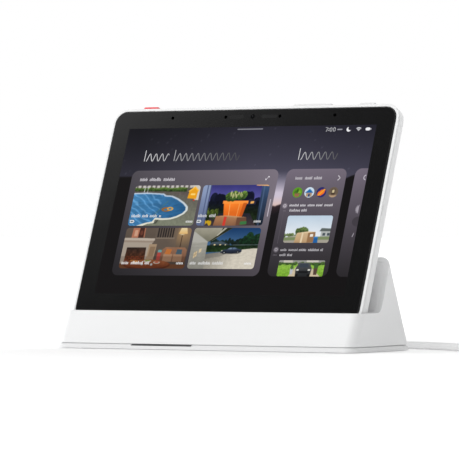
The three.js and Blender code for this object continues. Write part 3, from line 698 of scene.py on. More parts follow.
# small edges on the kept CAD pieces
for name in ("light_window", "slot_pad_left", "slot_pad_right", "pin_block", "contact_carrier"):
    m = NODES[name].modifiers.new("edge", "BEVEL")
    m.width, m.segments, m.limit_method, m.angle_limit = 0.00012, 2, "ANGLE", math.radians(40)
for i in (1, 2, 3, 4):
    m = NODES["rubber_foot_%d" % i].modifiers.new("edge", "BEVEL")
    m.width, m.segments, m.limit_method, m.angle_limit = 0.0002, 2, "ANGLE", math.radians(50)
# ------------------------------------------------------------------ display
# Everything lit is a thin layer on the front of the glass: painted panels carry a colour on each of their points,
# and words are only wavy strokes and short bars, so there is no lettering.
STEP = 0.004


def hash2(ix, iy, seed):
    h = (ix.astype(np.int64) * 374761393 + iy.astype(np.int64) * 668265263 + seed * 69069) & 0x7FFFFFFF
    h = ((h ^ (h >> 13)) * 1274126177) & 0x7FFFFFFF
    return ((h ^ (h >> 16)) & 0xFFFF) / 65535.0


def noise(x, y, scale, seed=1, octaves=3):
    out, amp, tot = np.zeros_like(x), 1.0, 0.0
    for o in range(octaves):
        px, py = x * scale * 2 ** o, y * scale * 2 ** o
        ix, iy = np.floor(px), np.floor(py)
        fx, fy = px - ix, py - iy
        fx, fy = fx * fx * (3 - 2 * fx), fy * fy * (3 - 2 * fy)
        a, b = hash2(ix, iy, seed + o), hash2(ix + 1, iy, seed + o)
        c, d = hash2(ix, iy + 1, seed + o), hash2(ix + 1, iy + 1, seed + o)
        out += amp * ((a * (1 - fx) + b * fx) * (1 - fy) + (c * (1 - fx) + d * fx) * fy)
        tot += amp
        amp *= 0.5
    return out / tot


def inside(pts, x, y):
    hit = np.zeros(x.shape, bool)
    j = len(pts) - 1
    for i in range(len(pts)):
        (xi, yi), (xj, yj) = pts[i], pts[j]
        if yi != yj:
            hit ^= ((yi > y) != (yj > y)) & (x < (xj - xi) * (y - yi) / (yj - yi) + xi)
        j = i
    return hit


class Paint:
    """A small picture: shapes laid over one another in the order they are given. u runs right and w up, over the panel."""

    def __init__(self, aspect=1.0):
        self.ops, self.aspect = [], aspect

    def fill(self, colour, alpha=1.0):
        self.ops.append((lambda u, w: np.ones(u.shape), colour, alpha))
        return self

    def poly(self, pts, colour, alpha=1.0):
        self.ops.append((lambda u, w, p=tuple(pts): inside(p, u, w).astype(float), colour, alpha))
        return self

    def oval(self, cx, cy, rx, ry, colour, alpha=1.0, soft=0.0):
        def f(u, w):
            d = np.sqrt(((u - cx) / rx) ** 2 + ((w - cy) / ry) ** 2)
            return (d < 1).astype(float) if soft == 0 else np.clip((1 - d) / soft, 0, 1)
        self.ops.append((f, colour, alpha))
        return self

    def blobs(self, x0, x1, y, ry, k, colour, seed=1, alpha=1.0, jitter=0.4, rx=None):
        r = random.Random(seed)
        rx = rx or (x1 - x0) / k * 0.9
        for i in range(k):
            t = (i + 0.5) / k
            self.oval(x0 + (x1 - x0) * t + r.uniform(-1, 1) * rx * jitter, y + r.uniform(-1, 1) * ry * jitter, rx * r.uniform(0.6, 1.2), ry * r.uniform(0.6, 1.3), colour, alpha)
        return self

    def band(self, pts, width, colour, alpha=1.0):
        """A line of some width through pts."""
        left, right = [], []
        for i, (x, y) in enumerate(pts):
            x0, y0 = pts[max(i - 1, 0)]
            x1, y1 = pts[min(i + 1, len(pts) - 1)]
            dx, dy = (x1 - x0) * self.aspect, y1 - y0
            q = math.hypot(dx, dy) or 1.0
            wd = width if not isinstance(width, (list, tuple)) else width[i]
            left.append((x - dy / q * wd / self.aspect, y + dx / q * wd))
            right.append((x + dy / q * wd / self.aspect, y - dx / q * wd))
        return self.poly(left + right[::-1], colour, alpha)

    def __call__(self, u, w):
        c = np.zeros(u.shape + (3,))
        for f, colour, alpha in self.ops:
            k = f(u, w) * alpha
            col = colour(u, w) if callable(colour) else np.asarray(colour, float)
            c = c * (1 - k[..., None]) + col * k[..., None]
        return c


def grad(c0, c1, w0=0.0, w1=1.0, amount=0.0, scale=8.0, seed=3, ax="w", stretch=1.0):
    """Colour that runs from c0 at w0 to c1 at w1, with some grain."""
    c0, c1 = np.asarray(c0, float), np.asarray(c1, float)

    def f(u, w):
        t = np.clip(((w if ax == "w" else u) - w0) / (w1 - w0), 0, 1)
        c = c0 + (c1 - c0) * t[..., None]
        if amount:
            c = c * (1 + amount * (noise(u * 1.7 * stretch, w, scale, seed) - 0.5) * 2)[..., None]
        return np.clip(c, 0, 255)
    return f


def panel(name, x0, x1, y0, y1, r, level, paint, cell, mat=None, body="tablet", corners=(1, 1)):
    """A thin rounded panel on the glass, coloured by paint. corners turns the left and the right ones on."""
    corner = [r * (1 - math.cos(t)) for t in np.linspace(0, math.pi / 2, 9)] if r else [0.0]
    mid = list(np.linspace(y0 + r, y1 - r, max(2, int((y1 - y0 - 2 * r) / cell) + 1)))
    ys = [y0 + d for d in corner[:-1]] + mid + [y1 - d for d in reversed(corner[:-1])]
    nx = max(2, int((x1 - x0) / cell) + 1)
    tt = np.linspace(0, 1, nx)
    X, Y = np.zeros((len(ys), nx)), np.zeros((len(ys), nx))
    for i, y in enumerate(ys):
        d = min(y - y0, y1 - y)
        ins = r - math.sqrt(max(0.0, r * r - (r - d) ** 2)) if r and d < r else 0.0
        X[i] = (x0 + ins * corners[0]) + (x1 - ins * corners[1] - x0 - ins * corners[0]) * tt
        Y[i] = y
    acc = 0
    offs = ((-0.25, -0.25), (0.25, -0.1), (-0.1, 0.25), (0.3, 0.3), (0.0, 0.0))
    for dx, dy in offs:
        px, py = np.clip(X + dx * cell * 1.6, x0, x1), np.clip(Y + dy * cell * 1.6, y0, y1)
        acc = acc + paint((px - x0) / (x1 - x0), (py - y0) / (y1 - y0))
    tone = lin(np.clip(acc / len(offs), 0, 255)).reshape(-1, 3)
    top = level * STEP
    verts = [tab((a, b, top)) for a, b in zip(X.ravel(), Y.ravel())]
    ny = len(ys)
    faces = [(i * nx + j, i * nx + j + 1, (i + 1) * nx + j + 1, (i + 1) * nx + j) for i in range(ny - 1) for j in range(nx - 1)]
    rim = [j for j in range(nx)] + [i * nx + nx - 1 for i in range(1, ny)] + [(ny - 1) * nx + j for j in range(nx - 2, -1, -1)] + [i * nx for i in range(ny - 2, 0, -1)]
    base, k = len(verts), len(rim)
    flat = list(zip(X.ravel(), Y.ravel()))
    verts += [tab((*flat[i], top - 0.75 * STEP)) for i in rim]
    faces += [(rim[(q + 1) % k], rim[q], base + q, base + (q + 1) % k) for q in range(k)]
    faces.append(tuple(base + q for q in reversed(range(k))))
    o = mesh_object(name, verts, faces, mat or painted("lit_" + name), body, smooth=False)
    a = o.data.color_attributes.new("tone", "FLOAT_COLOR", "POINT")
    full = np.ones((len(verts), 4), np.float32)
    full[:len(tone), :3] = tone
    full[len(tone):, :3] = tone[rim]
    a.data.foreach_set("color", full.ravel())
    return o


class Decal:
    """Flat shapes in plain lit colours on the glass, collected into one piece."""

    def __init__(self, name, level):
        self.name, self.level, self.v, self.f, self.i, self.mats = name, level, [], [], [], []

    def _slot(self, mat):
        if mat not in self.mats:
            self.mats.append(mat)
        return self.mats.index(mat)

    def shape(self, pts, mat, lift=0):
        mat = ink(mat) if isinstance(mat, tuple) else mat
        s = sum(a[0] * b[1] - b[0] * a[1] for a, b in zip(pts, pts[1:] + pts[:1]))
        if s < 0:
            pts = pts[::-1]
        k, b, top = len(pts), len(self.v), (self.level + lift) * STEP
        self.v += [tab((x, y, top - 0.75 * STEP)) for x, y in pts] + [tab((x, y, top)) for x, y in pts]
        new = [(b + i, b + (i + 1) % k, b + k + (i + 1) % k, b + k + i) for i in range(k)] + [tuple(range(b + k, b + 2 * k)), tuple(reversed(range(b, b + k)))]
        self.f += new
        self.i += [self._slot(mat)] * len(new)
        return self

    def bar(self, x0, x1, y, h, mat, lift=0):
        return self.shape(outline(x0, x1, y - h / 2, y + h / 2, min(h, x1 - x0) / 2 * 0.96, 4), mat, lift)

    def disc(self, x, y, r, mat, lift=0, n=28, ry=None):
        return self.shape([(x + r * math.cos(2 * math.pi * i / n), y + (ry or r) * math.sin(2 * math.pi * i / n)) for i in range(n)], mat, lift)

    def ring(self, x, y, r0, r1, mat, a0=0, a1=360, n=32, lift=0):
        for i in range(n):
            p, q = math.radians(a0 + (a1 - a0) * i / n), math.radians(a0 + (a1 - a0) * (i + 1) / n)
            self.shape([(x + r * math.cos(t), y + r * math.sin(t)) for r, t in ((r0, p), (r1, p), (r1, q), (r0, q))], mat, lift)
        return self

    def stroke(self, pts, width, mat, lift=0):
        """Each run of pts is one ribbon, cut in short lengths so that it can change colour."""
        nrm = []
        for i in range(len(pts)):
            (x0, y0), (x1, y1) = pts[max(i - 1, 0)], pts[min(i + 1, len(pts) - 1)]
            q = math.hypot(x1 - x0, y1 - y0) or 1.0
            nrm.append((-(y1 - y0) / q * width / 2, (x1 - x0) / q * width / 2))
        for i in range(len(pts) - 1):
            (x0, y0), (x1, y1), (a0, b0), (a1, b1) = pts[i], pts[i + 1], nrm[i], nrm[i + 1]
            self.shape([(x0 - a0, y0 - b0), (x1 - a1, y1 - b1), (x1 + a1, y1 + b1), (x0 + a0, y0 + b0)], mat(x0) if callable(mat) else mat, lift)
        return self

    def done(self, body="tablet"):
        return mesh_object(self.name, self.v, self.f, self.mats, body, smooth=False, index=self.i)


def ripple(d, x0, x1, y, h, pitch, width, mat, lift=0, tall=0.0):
    """A wavy stroke that stands for a word of light type. tall is the height of an upright at its start."""
    if tall:
        d.stroke([(x0, y - h / 2), (x0, y - h / 2 + tall)], width, mat, lift)
        x0 += pitch * 0.3
    n = max(8, int((x1 - x0) / pitch * 10))
    d.stroke([(x0 + (x1 - x0) * i / n, y - h / 2 * math.cos(math.pi * 2 * (x1 - x0) / pitch * i / n)) for i in range(n + 1)], width, mat, lift)


# night sky over dark hills, with the last light on the horizon
AX, AV = 86.15, 53.85


def wallpaper(u, w):
    x, v = (u - 0.5) * 2 * AX, (w - 0.5) * 2 * AV
    sky = np.zeros(u.shape + (3,))
    t = np.clip((53.85 - v) / 36.0, 0, 1)
    base0, base1 = np.array((40, 39, 50.0)), np.array((79, 77, 95.0))
    sky += base0 + (base1 - base0) * (t ** 1.1)[..., None]
    side = np.clip((np.abs(x - 22) - 18) / 80.0, 0, 1)
    sky *= (1 - np.where(x < 22, 0.44, 0.22) * side ** 1.1 * (1 - 0.2 * t))[..., None]
    sky *= (1 + 0.05 * (noise(u * 1.6, w, 5, 11) - 0.5))[..., None]
    glow = np.clip((25 - v) / 14.0, 0, 1)
    g = np.exp(-((x - 28.5) / 15.0) ** 2) * glow ** 1.2
    warm = np.clip((9 - v) / 8.0, 0, 1)[..., None]
    gc = np.array((205, 195, 212.0)) * (1 - warm) + np.array((225, 190, 178.0)) * warm
    sky = sky * (1 - g[..., None]) + gc * g[..., None]
    ix, iy = np.floor(x / 2.3), np.floor(v / 2.3)
    h = hash2(ix, iy, 5)
    cx, cy = (ix + 0.2 + 0.6 * hash2(ix, iy, 8)) * 2.3, (iy + 0.2 + 0.6 * hash2(ix, iy, 9)) * 2.3
    d = np.hypot(x - cx, v - cy)
    star = (h > 0.955) * np.clip(1 - d / 0.36, 0, 1) * (20 + 80 * hash2(ix, iy, 12))
    sky += star[..., None] * np.array((1, 1, 1.05)) * (v > 22)[..., None]
    ridge = 3.2 + 0.10 * np.abs(x - 28.5) * 1.9 + 2.6 * (noise(u * 3.0, u * 0 + 0.3, 3.3, 21) - 0.5) * 2
    ridge = np.where(x > 28.5, 3.0 + 0.40 * (x - 28.5) + 1.6 * (noise(u * 3.0, u * 0 + 0.7, 6.3, 22) - 0.5) * 2, ridge)
    ridge = np.minimum(ridge, 22.5)
    far = np.array((56, 40, 45.0)) * (1 - np.clip((ridge - v) / 6, 0, 1))[..., None] + np.array((25, 22, 26.0)) * np.clip((ridge - v) / 6, 0, 1)[..., None]
    k = np.clip((ridge - v) / 0.7, 0, 1)[..., None]
    low = np.clip((ridge - v - 5) / 12, 0, 1)[..., None]
    hill = far * (1 - low) + np.array((21, 19, 20.0)) * low
    away = np.clip(np.abs(x - 28.5) / 22, 0, 1)[..., None]
    hill = hill * (1 - away) + np.array((21, 19, 20.0)) * away
    return sky * (1 - k) + hill * k


panel("display_wallpaper", -AX, AX, -AV, AV, 0, 1, wallpaper, 0.62)


def card(left_top, right_top, left_bottom, right_bottom, bulge=0.0):
    a = [np.asarray(c, float) for c in (left_top, right_top, left_bottom, right_bottom)]

    def f(u, w):
        u_, w_ = u[..., None], w[..., None]
        c = (a[2] * (1 - u_) + a[3] * u_) * (1 - w_) + (a[0] * (1 - u_) + a[1] * u_) * w_
        if bulge:
            c = c + bulge * np.exp(-((u_ - 0.97) / 0.10) ** 2 - ((w_ - 0.62) / 0.2) ** 2)
        return c
    return f


panel("card_cameras", -77, 26, -42.1, 26, 4.2, 4, card((80, 76, 83), (124, 115, 127), (39, 37, 40), (76, 71, 78), 14.0), 1.1)
panel("card_events", 31.6, 72.3, -42.1, 26, 4.2, 4, card((117, 108, 122), (115, 106, 119), (42, 40, 43), (42, 40, 42)), 1.1)
panel("card_next", 78, AX, -42.1, 26, 4.2, 4, card((117, 108, 122), (114, 105, 119), (42, 40, 43), (43, 40, 43)), 1.1, corners=(1, 0))

# ---- pool terrace
P = Paint(1.62)
P.fill(grad((124, 128, 110), (88, 82, 78), 0.0, 0.95, 0.10, 26, 4))
P.poly([(-0.1, 0.94), (1.1, 0.94), (1.1, 1.1), (-0.1, 1.1)], (196, 190, 186))
for i in range(14):
    P.poly([(i * 0.072 + 0.015, 0.94), (i * 0.072 + 0.045, 0.94), (i * 0.072 + 0.045, 1.1), (i * 0.072 + 0.015, 1.1)], (104, 98, 96))
P.poly([(-0.1, 0.86), (0.8, 0.84), (0.8, 0.925), (-0.1, 0.945)], grad((40, 62, 28), (88, 112, 52), 0.86, 0.94, 0.6, 30, 6))
P.blobs(0.0, 0.78, 0.925, 0.022, 14, grad((48, 74, 32), (104, 130, 60), 0.88, 0.95, 0.5, 30, 7), 3)
P.poly([(-0.1, 0.815), (0.52, 0.835), (0.86, 0.72), (1.1, 0.6), (1.1, 0.84), (0.8, 0.845), (-0.1, 0.865)], grad((118, 106, 98), (92, 84, 80), 0.6, 0.85, 0.15, 20, 8))
P.poly([(0.86, 1.1), (1.1, 1.1), (1.1, 0.62), (0.94, 0.64)], (205, 200, 192))
rimp = [(-0.05, 0.815), (0.20, 0.825), (0.46, 0.80), (0.50, 0.755), (0.60, 0.745), (0.70, 0.675), (0.80, 0.575), (0.868, 0.47), (0.872, 0.38), (0.83, 0.29), (0.74, 0.205), (0.64, 0.155), (0.52, 0.14), (0.44, 0.145), (0.41, 0.07), (0.30, 0.05), (0.16, -0.05), (-0.05, -0.12)]
P.poly(rimp + [(-0.05, -0.12)], grad((226, 224, 206), (188, 205, 224), 0.1, 0.8))
water = [(-0.05, 0.785), (0.20, 0.795), (0.45, 0.772), (0.485, 0.728), (0.585, 0.715), (0.68, 0.648), (0.775, 0.553), (0.835, 0.46), (0.838, 0.385), (0.80, 0.31), (0.72, 0.24), (0.63, 0.195), (0.52, 0.185), (0.40, 0.20), (0.36, 0.10), (0.27, 0.075), (0.15, 0.01), (-0.05, -0.1)]


def pool(u, w):
    a, b = np.array((34, 84, 128.0)), np.array((76, 138, 186.0))
    t = np.clip(0.75 - u * 0.75 + (w - 0.5) * 0.25, 0, 1)
    c = a + (b - a) * t[..., None]
    r = noise(u * 5 + w * 2.2, w * 9 - u * 2, 2.2, 31)
    streak = np.clip((np.abs(np.sin((u * 1.1 + w * 0.9) * 22 + 3 * noise(u * 2, w * 2, 3, 32))) - 0.86) / 0.14, 0, 1) * (u < 0.45)
    c = c * (0.84 + 0.34 * r)[..., None] + streak[..., None] * 34
    return np.clip(c, 0, 255)


P.poly(water, pool)
P.band([(0.33, 0.14), (0.42, 0.36), (0.55, 0.62)], 0.006, (92, 122, 84), 0.7)
P.oval(0.545, 0.405, 0.075, 0.055, (150, 98, 36)).oval(0.60, 0.42, 0.05, 0.045, (222, 166, 62)).oval(0.60, 0.42, 0.026, 0.022, (70, 120, 158)).oval(0.535, 0.40, 0.03, 0.024, (70, 116, 152))
P.band([(0.148, 0.83), (0.153, 0.95), (0.185, 0.97), (0.20, 0.95), (0.198, 0.8)], 0.006, (214, 220, 226))
P.poly([(0.83, 0.68), (0.965, 0.66), (0.975, 0.88), (0.92, 0.97), (0.845, 0.87)], (232, 160, 30))
P.poly([(0.825, 0.855), (0.92, 0.975), (0.99, 0.87), (0.975, 0.85), (0.92, 0.93), (0.845, 0.84)], (246, 188, 66))
P.poly([(0.87, 0.76), (0.94, 0.755), (0.94, 0.80), (0.875, 0.80)], (250, 214, 120))
P.oval(0.935, 0.63, 0.016, 0.02, (190, 52, 40))
P.poly([(0.40, 0.15), (0.46, 0.15), (0.43, 0.055), (0.39, 0.045)], (54, 58, 50), 0.75)
panel("scene_pool", -72.7, -26.4, -10, 16.1, 1.9, 7, P, 0.3)

# ---- front door at dusk, with a parcel on the mat
P = Paint(1.62)
P.fill(grad((98, 96, 168), (54, 52, 116), 0.55, 1.0, 0.06, 6, 41))
P.blobs(0.16, 0.92, 0.62, 0.13, 12, grad((12, 16, 34), (20, 24, 46), 0.4, 0.8, 0.4, 22, 42), 5, 1.0, 0.5)
P.oval(0.68, 0.72, 0.10, 0.12, (15, 18, 38)).oval(0.30, 0.66, 0.09, 0.12, (13, 16, 34))
P.poly([(0.1, 0.0), (0.95, 0.0), (0.95, 0.60), (0.1, 0.60)], grad((22, 34, 18), (10, 14, 26), 0.3, 0.55, 0.5, 18, 43))
P.poly([(0.66, 0.50), (0.84, 0.52), (0.84, 0.60), (0.75, 0.66), (0.66, 0.60)], (34, 36, 58))
P.poly([(0.76, 0.54), (0.81, 0.545), (0.81, 0.60), (0.76, 0.595)], (240, 176, 92)).poly([(0.69, 0.53), (0.72, 0.535), (0.72, 0.575), (0.69, 0.57)], (206, 142, 74))
P.poly([(0.12, 0.0), (0.9, 0.0), (0.78, 0.30), (0.24, 0.30)], grad((64, 52, 54), (34, 34, 44), 0.0, 0.3, 0.15, 16, 44))
P.blobs(0.14, 0.30, 0.30, 0.10, 8, grad((44, 60, 24), (78, 92, 34), 0.2, 0.4, 0.6, 30, 45), 8)
P.blobs(0.12, 0.22, 0.085, 0.05, 5, (196, 158, 34), 9, 1.0, 0.6, 0.028)
# tall planter in orange glaze with a clipped shrub
P.poly([(0.40, 0.13), (0.66, 0.13), (0.71, 0.56), (0.36, 0.56)], grad((214, 92, 24), (250, 132, 44), 0.12, 0.56, 0.06, 6, 46))
P.poly([(0.345, 0.54), (0.725, 0.54), (0.725, 0.61), (0.345, 0.61)], (252, 148, 60))
P.poly([(0.62, 0.13), (0.66, 0.13), (0.71, 0.56), (0.655, 0.56)], (176, 74, 22), 0.7)
P.band([(0.47, 0.15), (0.455, 0.54)], 0.006, (255, 186, 112)).band([(0.585, 0.15), (0.60, 0.54)], 0.006, (255, 186, 112), 0.8)
P.blobs(0.43, 0.64, 0.72, 0.10, 9, grad((34, 58, 26), (112, 142, 58), 0.58, 0.9, 0.6, 30, 47), 12, 1.0, 0.5, 0.075)
P.blobs(0.44, 0.63, 0.76, 0.06, 7, (214, 206, 150), 14, 0.8, 0.9, 0.010)
# parcel
P.poly([(0.26, 0.0), (0.60, 0.0), (0.60, 0.20), (0.28, 0.235)], grad((134, 92, 66), (170, 124, 88), 0.0, 0.22, 0.05, 9, 48))
P.poly([(0.60, 0.0), (0.76, 0.03), (0.74, 0.205), (0.60, 0.20)], (106, 72, 54))
P.poly([(0.28, 0.235), (0.60, 0.20), (0.74, 0.205), (0.46, 0.25)], (190, 146, 104))
P.poly([(0.40, 0.0), (0.44, 0.0), (0.445, 0.22), (0.405, 0.225)], (204, 60, 46)).poly([(0.66, 0.02), (0.76, 0.035), (0.755, 0.11), (0.66, 0.10)], (58, 116, 66))
P.poly([(-0.1, -0.1), (0.135, -0.1), (0.125, 1.1), (-0.1, 1.1)], grad((92, 104, 138), (142, 158, 190), 0.0, 1.0, 0.05, 5, 49))
P.poly([(0.065, -0.1), (0.082, -0.1), (0.082, 1.1), (0.065, 1.1)], (84, 96, 130)).poly([(0.118, -0.1), (0.135, -0.1), (0.125, 1.1), (0.11, 1.1)], (70, 80, 112))
P.poly([(0.90, -0.1), (1.1, -0.1), (1.1, 1.1), (0.885, 1.1)], grad((26, 34, 46), (54, 76, 110), 0.0, 0.9, 0.1, 6, 50))
P.poly([(0.925, -0.1), (0.945, -0.1), (0.935, 1.1), (0.915, 1.1)], (94, 116, 150), 0.5)
P.poly([(0.80, 0.985), (1.0, 0.97), (1.0, 1.1), (0.80, 1.1)], (232, 176, 116))
panel("scene_front_door", -24.4, 21.7, -10, 16.1, 1.9, 7, P, 0.3)

# ---- living room with a fireplace, a lamp and a laid table
P = Paint(1.62)
P.fill(grad((84, 74, 66), (106, 94, 84), 0.1, 1.0, 0.05, 5, 61))
P.oval(0.90, 0.86, 0.28, 0.42, (206, 164, 112), 0.75, 1.0)
P.poly([(0.46, 0.42), (0.80, 0.42), (0.80, 1.1), (0.46, 1.1)], (112, 100, 90), 0.6)
for i in range(7):
    x = 0.495 + i * 0.037
    P.poly([(x, 0.76), (x + 0.022, 0.76), (x + 0.022, 1.1), (x, 1.1)], (44, 40, 40))
P.poly([(0.48, 0.735), (0.765, 0.735), (0.765, 0.765), (0.48, 0.765)], (140, 126, 112))
P.poly([(0.10, 0.76), (0.30, 0.76), (0.295, 1.1), (0.11, 1.1)], (196, 128, 100)).poly([(0.20, 0.76), (0.285, 0.76), (0.28, 1.1), (0.215, 1.1)], (74, 42, 36))
P.poly([(0.135, 0.80), (0.185, 0.80), (0.185, 0.95), (0.14, 0.95)], (226, 176, 148)).oval(0.245, 0.88, 0.022, 0.06, (116, 66, 52))
P.poly([(-0.1, 0.70), (0.47, 0.685), (0.47, 0.745), (-0.1, 0.76)], (206, 194, 180))
P.poly([(-0.1, 0.645), (0.455, 0.635), (0.455, 0.685), (-0.1, 0.70)], (168, 152, 138))
P.poly([(-0.1, 0.0), (0.44, 0.0), (0.44, 0.64), (-0.1, 0.65)], (186, 174, 160))
P.poly([(0.055, 0.10), (0.37, 0.10), (0.36, 0.52), (0.065, 0.52)], grad((118, 62, 34), (46, 34, 30), 0.12, 0.5, 0.5, 20, 62))


def bricks(u, w):
    row = np.floor(w * 22)
    edge = (np.abs((w * 22) % 1 - 0.5) > 0.40) | (np.abs((u * 14 + 0.5 * (row % 2)) % 1 - 0.5) > 0.43)
    c = np.where(edge[..., None], np.array((52, 32, 24.0)), np.array((122, 58, 34.0)))
    return c * (0.8 + 0.5 * noise(u * 3, w, 12, 63))[..., None]


P.poly([(0.075, 0.11), (0.355, 0.11), (0.35, 0.30), (0.08, 0.30)], bricks)
P.oval(0.21, 0.17, 0.11, 0.05, (236, 128, 44), 0.8, 0.8).oval(0.19, 0.185, 0.05, 0.035, (255, 200, 96), 0.8, 0.9)
P.poly([(-0.1, 0.0), (1.1, 0.0), (1.1, 0.10), (-0.1, 0.12)], (116, 74, 48))
# standing lamp
P.band([(0.875, 0.82), (0.872, 0.20)], 0.008, (50, 34, 26)).oval(0.872, 0.20, 0.045, 0.018, (50, 34, 26))
P.poly([(0.845, 1.02), (0.925, 1.02), (0.95, 0.855), (0.815, 0.855)], grad((255, 206, 128), (255, 238, 190), 0.85, 1.0))
P.oval(0.87, 0.84, 0.05, 0.018, (255, 240, 196), 0.9, 0.8)
# sofa in the back, chairs, table with bowls
P.poly([(0.60, 0.18), (0.98, 0.16), (0.99, 0.46), (0.95, 0.52), (0.66, 0.53), (0.61, 0.46)], grad((126, 88, 68), (160, 118, 92), 0.2, 0.52, 0.08, 10, 64))
P.poly([(0.64, 0.17), (0.78, 0.17), (0.78, 0.36), (0.645, 0.37)], (178, 140, 112)).poly([(0.795, 0.17), (0.935, 0.165), (0.93, 0.355), (0.795, 0.36)], (172, 134, 106))
P.poly([(0.66, 0.36), (0.745, 0.345), (0.76, 0.47), (0.68, 0.49)], (206, 122, 60)).poly([(0.83, 0.35), (0.92, 0.35), (0.915, 0.47), (0.84, 0.475)], (70, 96, 112))
P.poly([(0.385, 0.20), (0.50, 0.20), (0.515, 0.60), (0.40, 0.60)], (182, 156, 128)).poly([(0.41, 0.30), (0.49, 0.30), (0.50, 0.54), (0.42, 0.54)], (150, 124, 98))
P.poly([(0.545, 0.20), (0.60, 0.20), (0.605, 0.44), (0.55, 0.44)], (188, 78, 70)).poly([(0.55, 0.40), (0.61, 0.40), (0.605, 0.46), (0.555, 0.46)], (112, 176, 176))
P.oval(0.42, 0.09, 0.36, 0.13, grad((84, 38, 22), (156, 86, 50), 0.0, 0.2, 0.12, 14, 65))
P.oval(0.42, 0.105, 0.33, 0.10, grad((120, 60, 34), (176, 104, 64), 0.05, 0.2, 0.10, 14, 66))
P.oval(0.24, 0.16, 0.05, 0.035, (236, 226, 206)).oval(0.24, 0.17, 0.038, 0.024, (238, 152, 52)).oval(0.42, 0.185, 0.06, 0.028, (232, 224, 208)).oval(0.42, 0.192, 0.043, 0.017, (150, 170, 72))
P.oval(0.565, 0.15, 0.05, 0.030, (238, 230, 216)).oval(0.565, 0.156, 0.036, 0.019, (206, 86, 58)).oval(0.345, 0.11, 0.018, 0.028, (206, 218, 222)).oval(0.49, 0.10, 0.018, 0.028, (206, 218, 222))
P.oval(0.42, 0.5, 1.0, 1.0, (26, 14, 8), 0.0).fill((30, 16, 8), 0.14).poly([(-0.1, -0.1), (1.1, -0.1), (1.1, 0.3), (-0.1, 0.3)], (20, 10, 6), 0.18)
panel("scene_living_room", -72.7, -26.4, -37.6, -11.5, 1.9, 7, P, 0.3)

# ---- driveway under the eaves, evening
P = Paint(1.62)
P.fill(grad((64, 98, 136), (22, 56, 98), 0.62, 1.0, 0.03, 4, 71))
P.blobs(0.30, 0.80, 0.655, 0.07, 14, grad((16, 26, 24), (26, 44, 38), 0.55, 0.75, 0.5, 24, 72), 21)
P.blobs(0.74, 1.02, 0.70, 0.12, 9, grad((12, 30, 18), (26, 58, 34), 0.55, 0.85, 0.6, 26, 73), 22, 1.0, 0.5, 0.06)
P.band([(0.545, 0.60), (0.55, 0.74)], 0.006, (20, 24, 20)).band([(0.90, 0.56), (0.905, 0.72)], 0.008, (22, 26, 20))
P.poly([(0.26, 0.56), (0.30, 0.65), (0.44, 0.675), (0.56, 0.60), (0.60, 0.565)], (66, 80, 90)).poly([(0.28, 0.565), (0.58, 0.565), (0.58, 0.60), (0.28, 0.60)], (46, 56, 62))
P.poly([(0.335, 0.575), (0.36, 0.575), (0.36, 0.60), (0.335, 0.60)], (236, 214, 160)).poly([(0.42, 0.575), (0.445, 0.575), (0.445, 0.60), (0.42, 0.60)], (236, 214, 160)).poly([(0.50, 0.578), (0.52, 0.578), (0.52, 0.598), (0.50, 0.598)], (206, 196, 160))
P.poly([(0.62, 0.575), (1.1, 0.585), (1.1, 0.60), (0.62, 0.59)], (96, 110, 112))
P.poly([(0.20, 0.40), (1.1, 0.46), (1.1, 0.58), (0.20, 0.575)], grad((34, 56, 24), (20, 36, 22), 0.42, 0.57, 0.5, 22, 74))


def drive(u, w):
    t = np.clip((u - 0.15) / 0.6 + (0.45 - w) * 0.5, 0, 1)
    c = np.array((112, 108, 100.0)) + (np.array((206, 199, 184.0)) - np.array((112, 108, 100.0))) * t[..., None]
    return np.clip(c * (0.93 + 0.14 * noise(u * 4, w * 4, 9, 75))[..., None], 0, 255)


P.poly([(0.22, -0.1), (1.1, -0.1), (1.1, 0.50), (0.93, 0.50), (0.62, 0.44), (0.22, 0.355)], drive)
P.poly([(0.24, 0.24), (0.46, 0.30), (0.58, 0.40), (0.46, 0.43), (0.22, 0.36)], (86, 84, 80), 0.35)
# saloon car
P.oval(0.615, 0.382, 0.17, 0.026, (52, 52, 52), 0.7, 0.5)
P.poly([(0.455, 0.39), (0.47, 0.445), (0.515, 0.475), (0.545, 0.475), (0.585, 0.52), (0.66, 0.53), (0.72, 0.49), (0.765, 0.475), (0.775, 0.43), (0.76, 0.40), (0.63, 0.375)], grad((26, 32, 46), (60, 72, 96), 0.39, 0.52, 0.1, 12, 76))
P.poly([(0.555, 0.478), (0.592, 0.512), (0.622, 0.515), (0.618, 0.478)], (116, 138, 158)).poly([(0.63, 0.478), (0.632, 0.516), (0.66, 0.517), (0.70, 0.485)], (94, 116, 138))
P.oval(0.515, 0.395, 0.026, 0.035, (16, 17, 20)).oval(0.515, 0.395, 0.012, 0.016, (150, 154, 160)).oval(0.716, 0.41, 0.022, 0.032, (16, 17, 20)).oval(0.716, 0.41, 0.010, 0.014, (146, 150, 156))
P.poly([(0.462, 0.43), (0.485, 0.44), (0.482, 0.452), (0.466, 0.446)], (232, 228, 206))
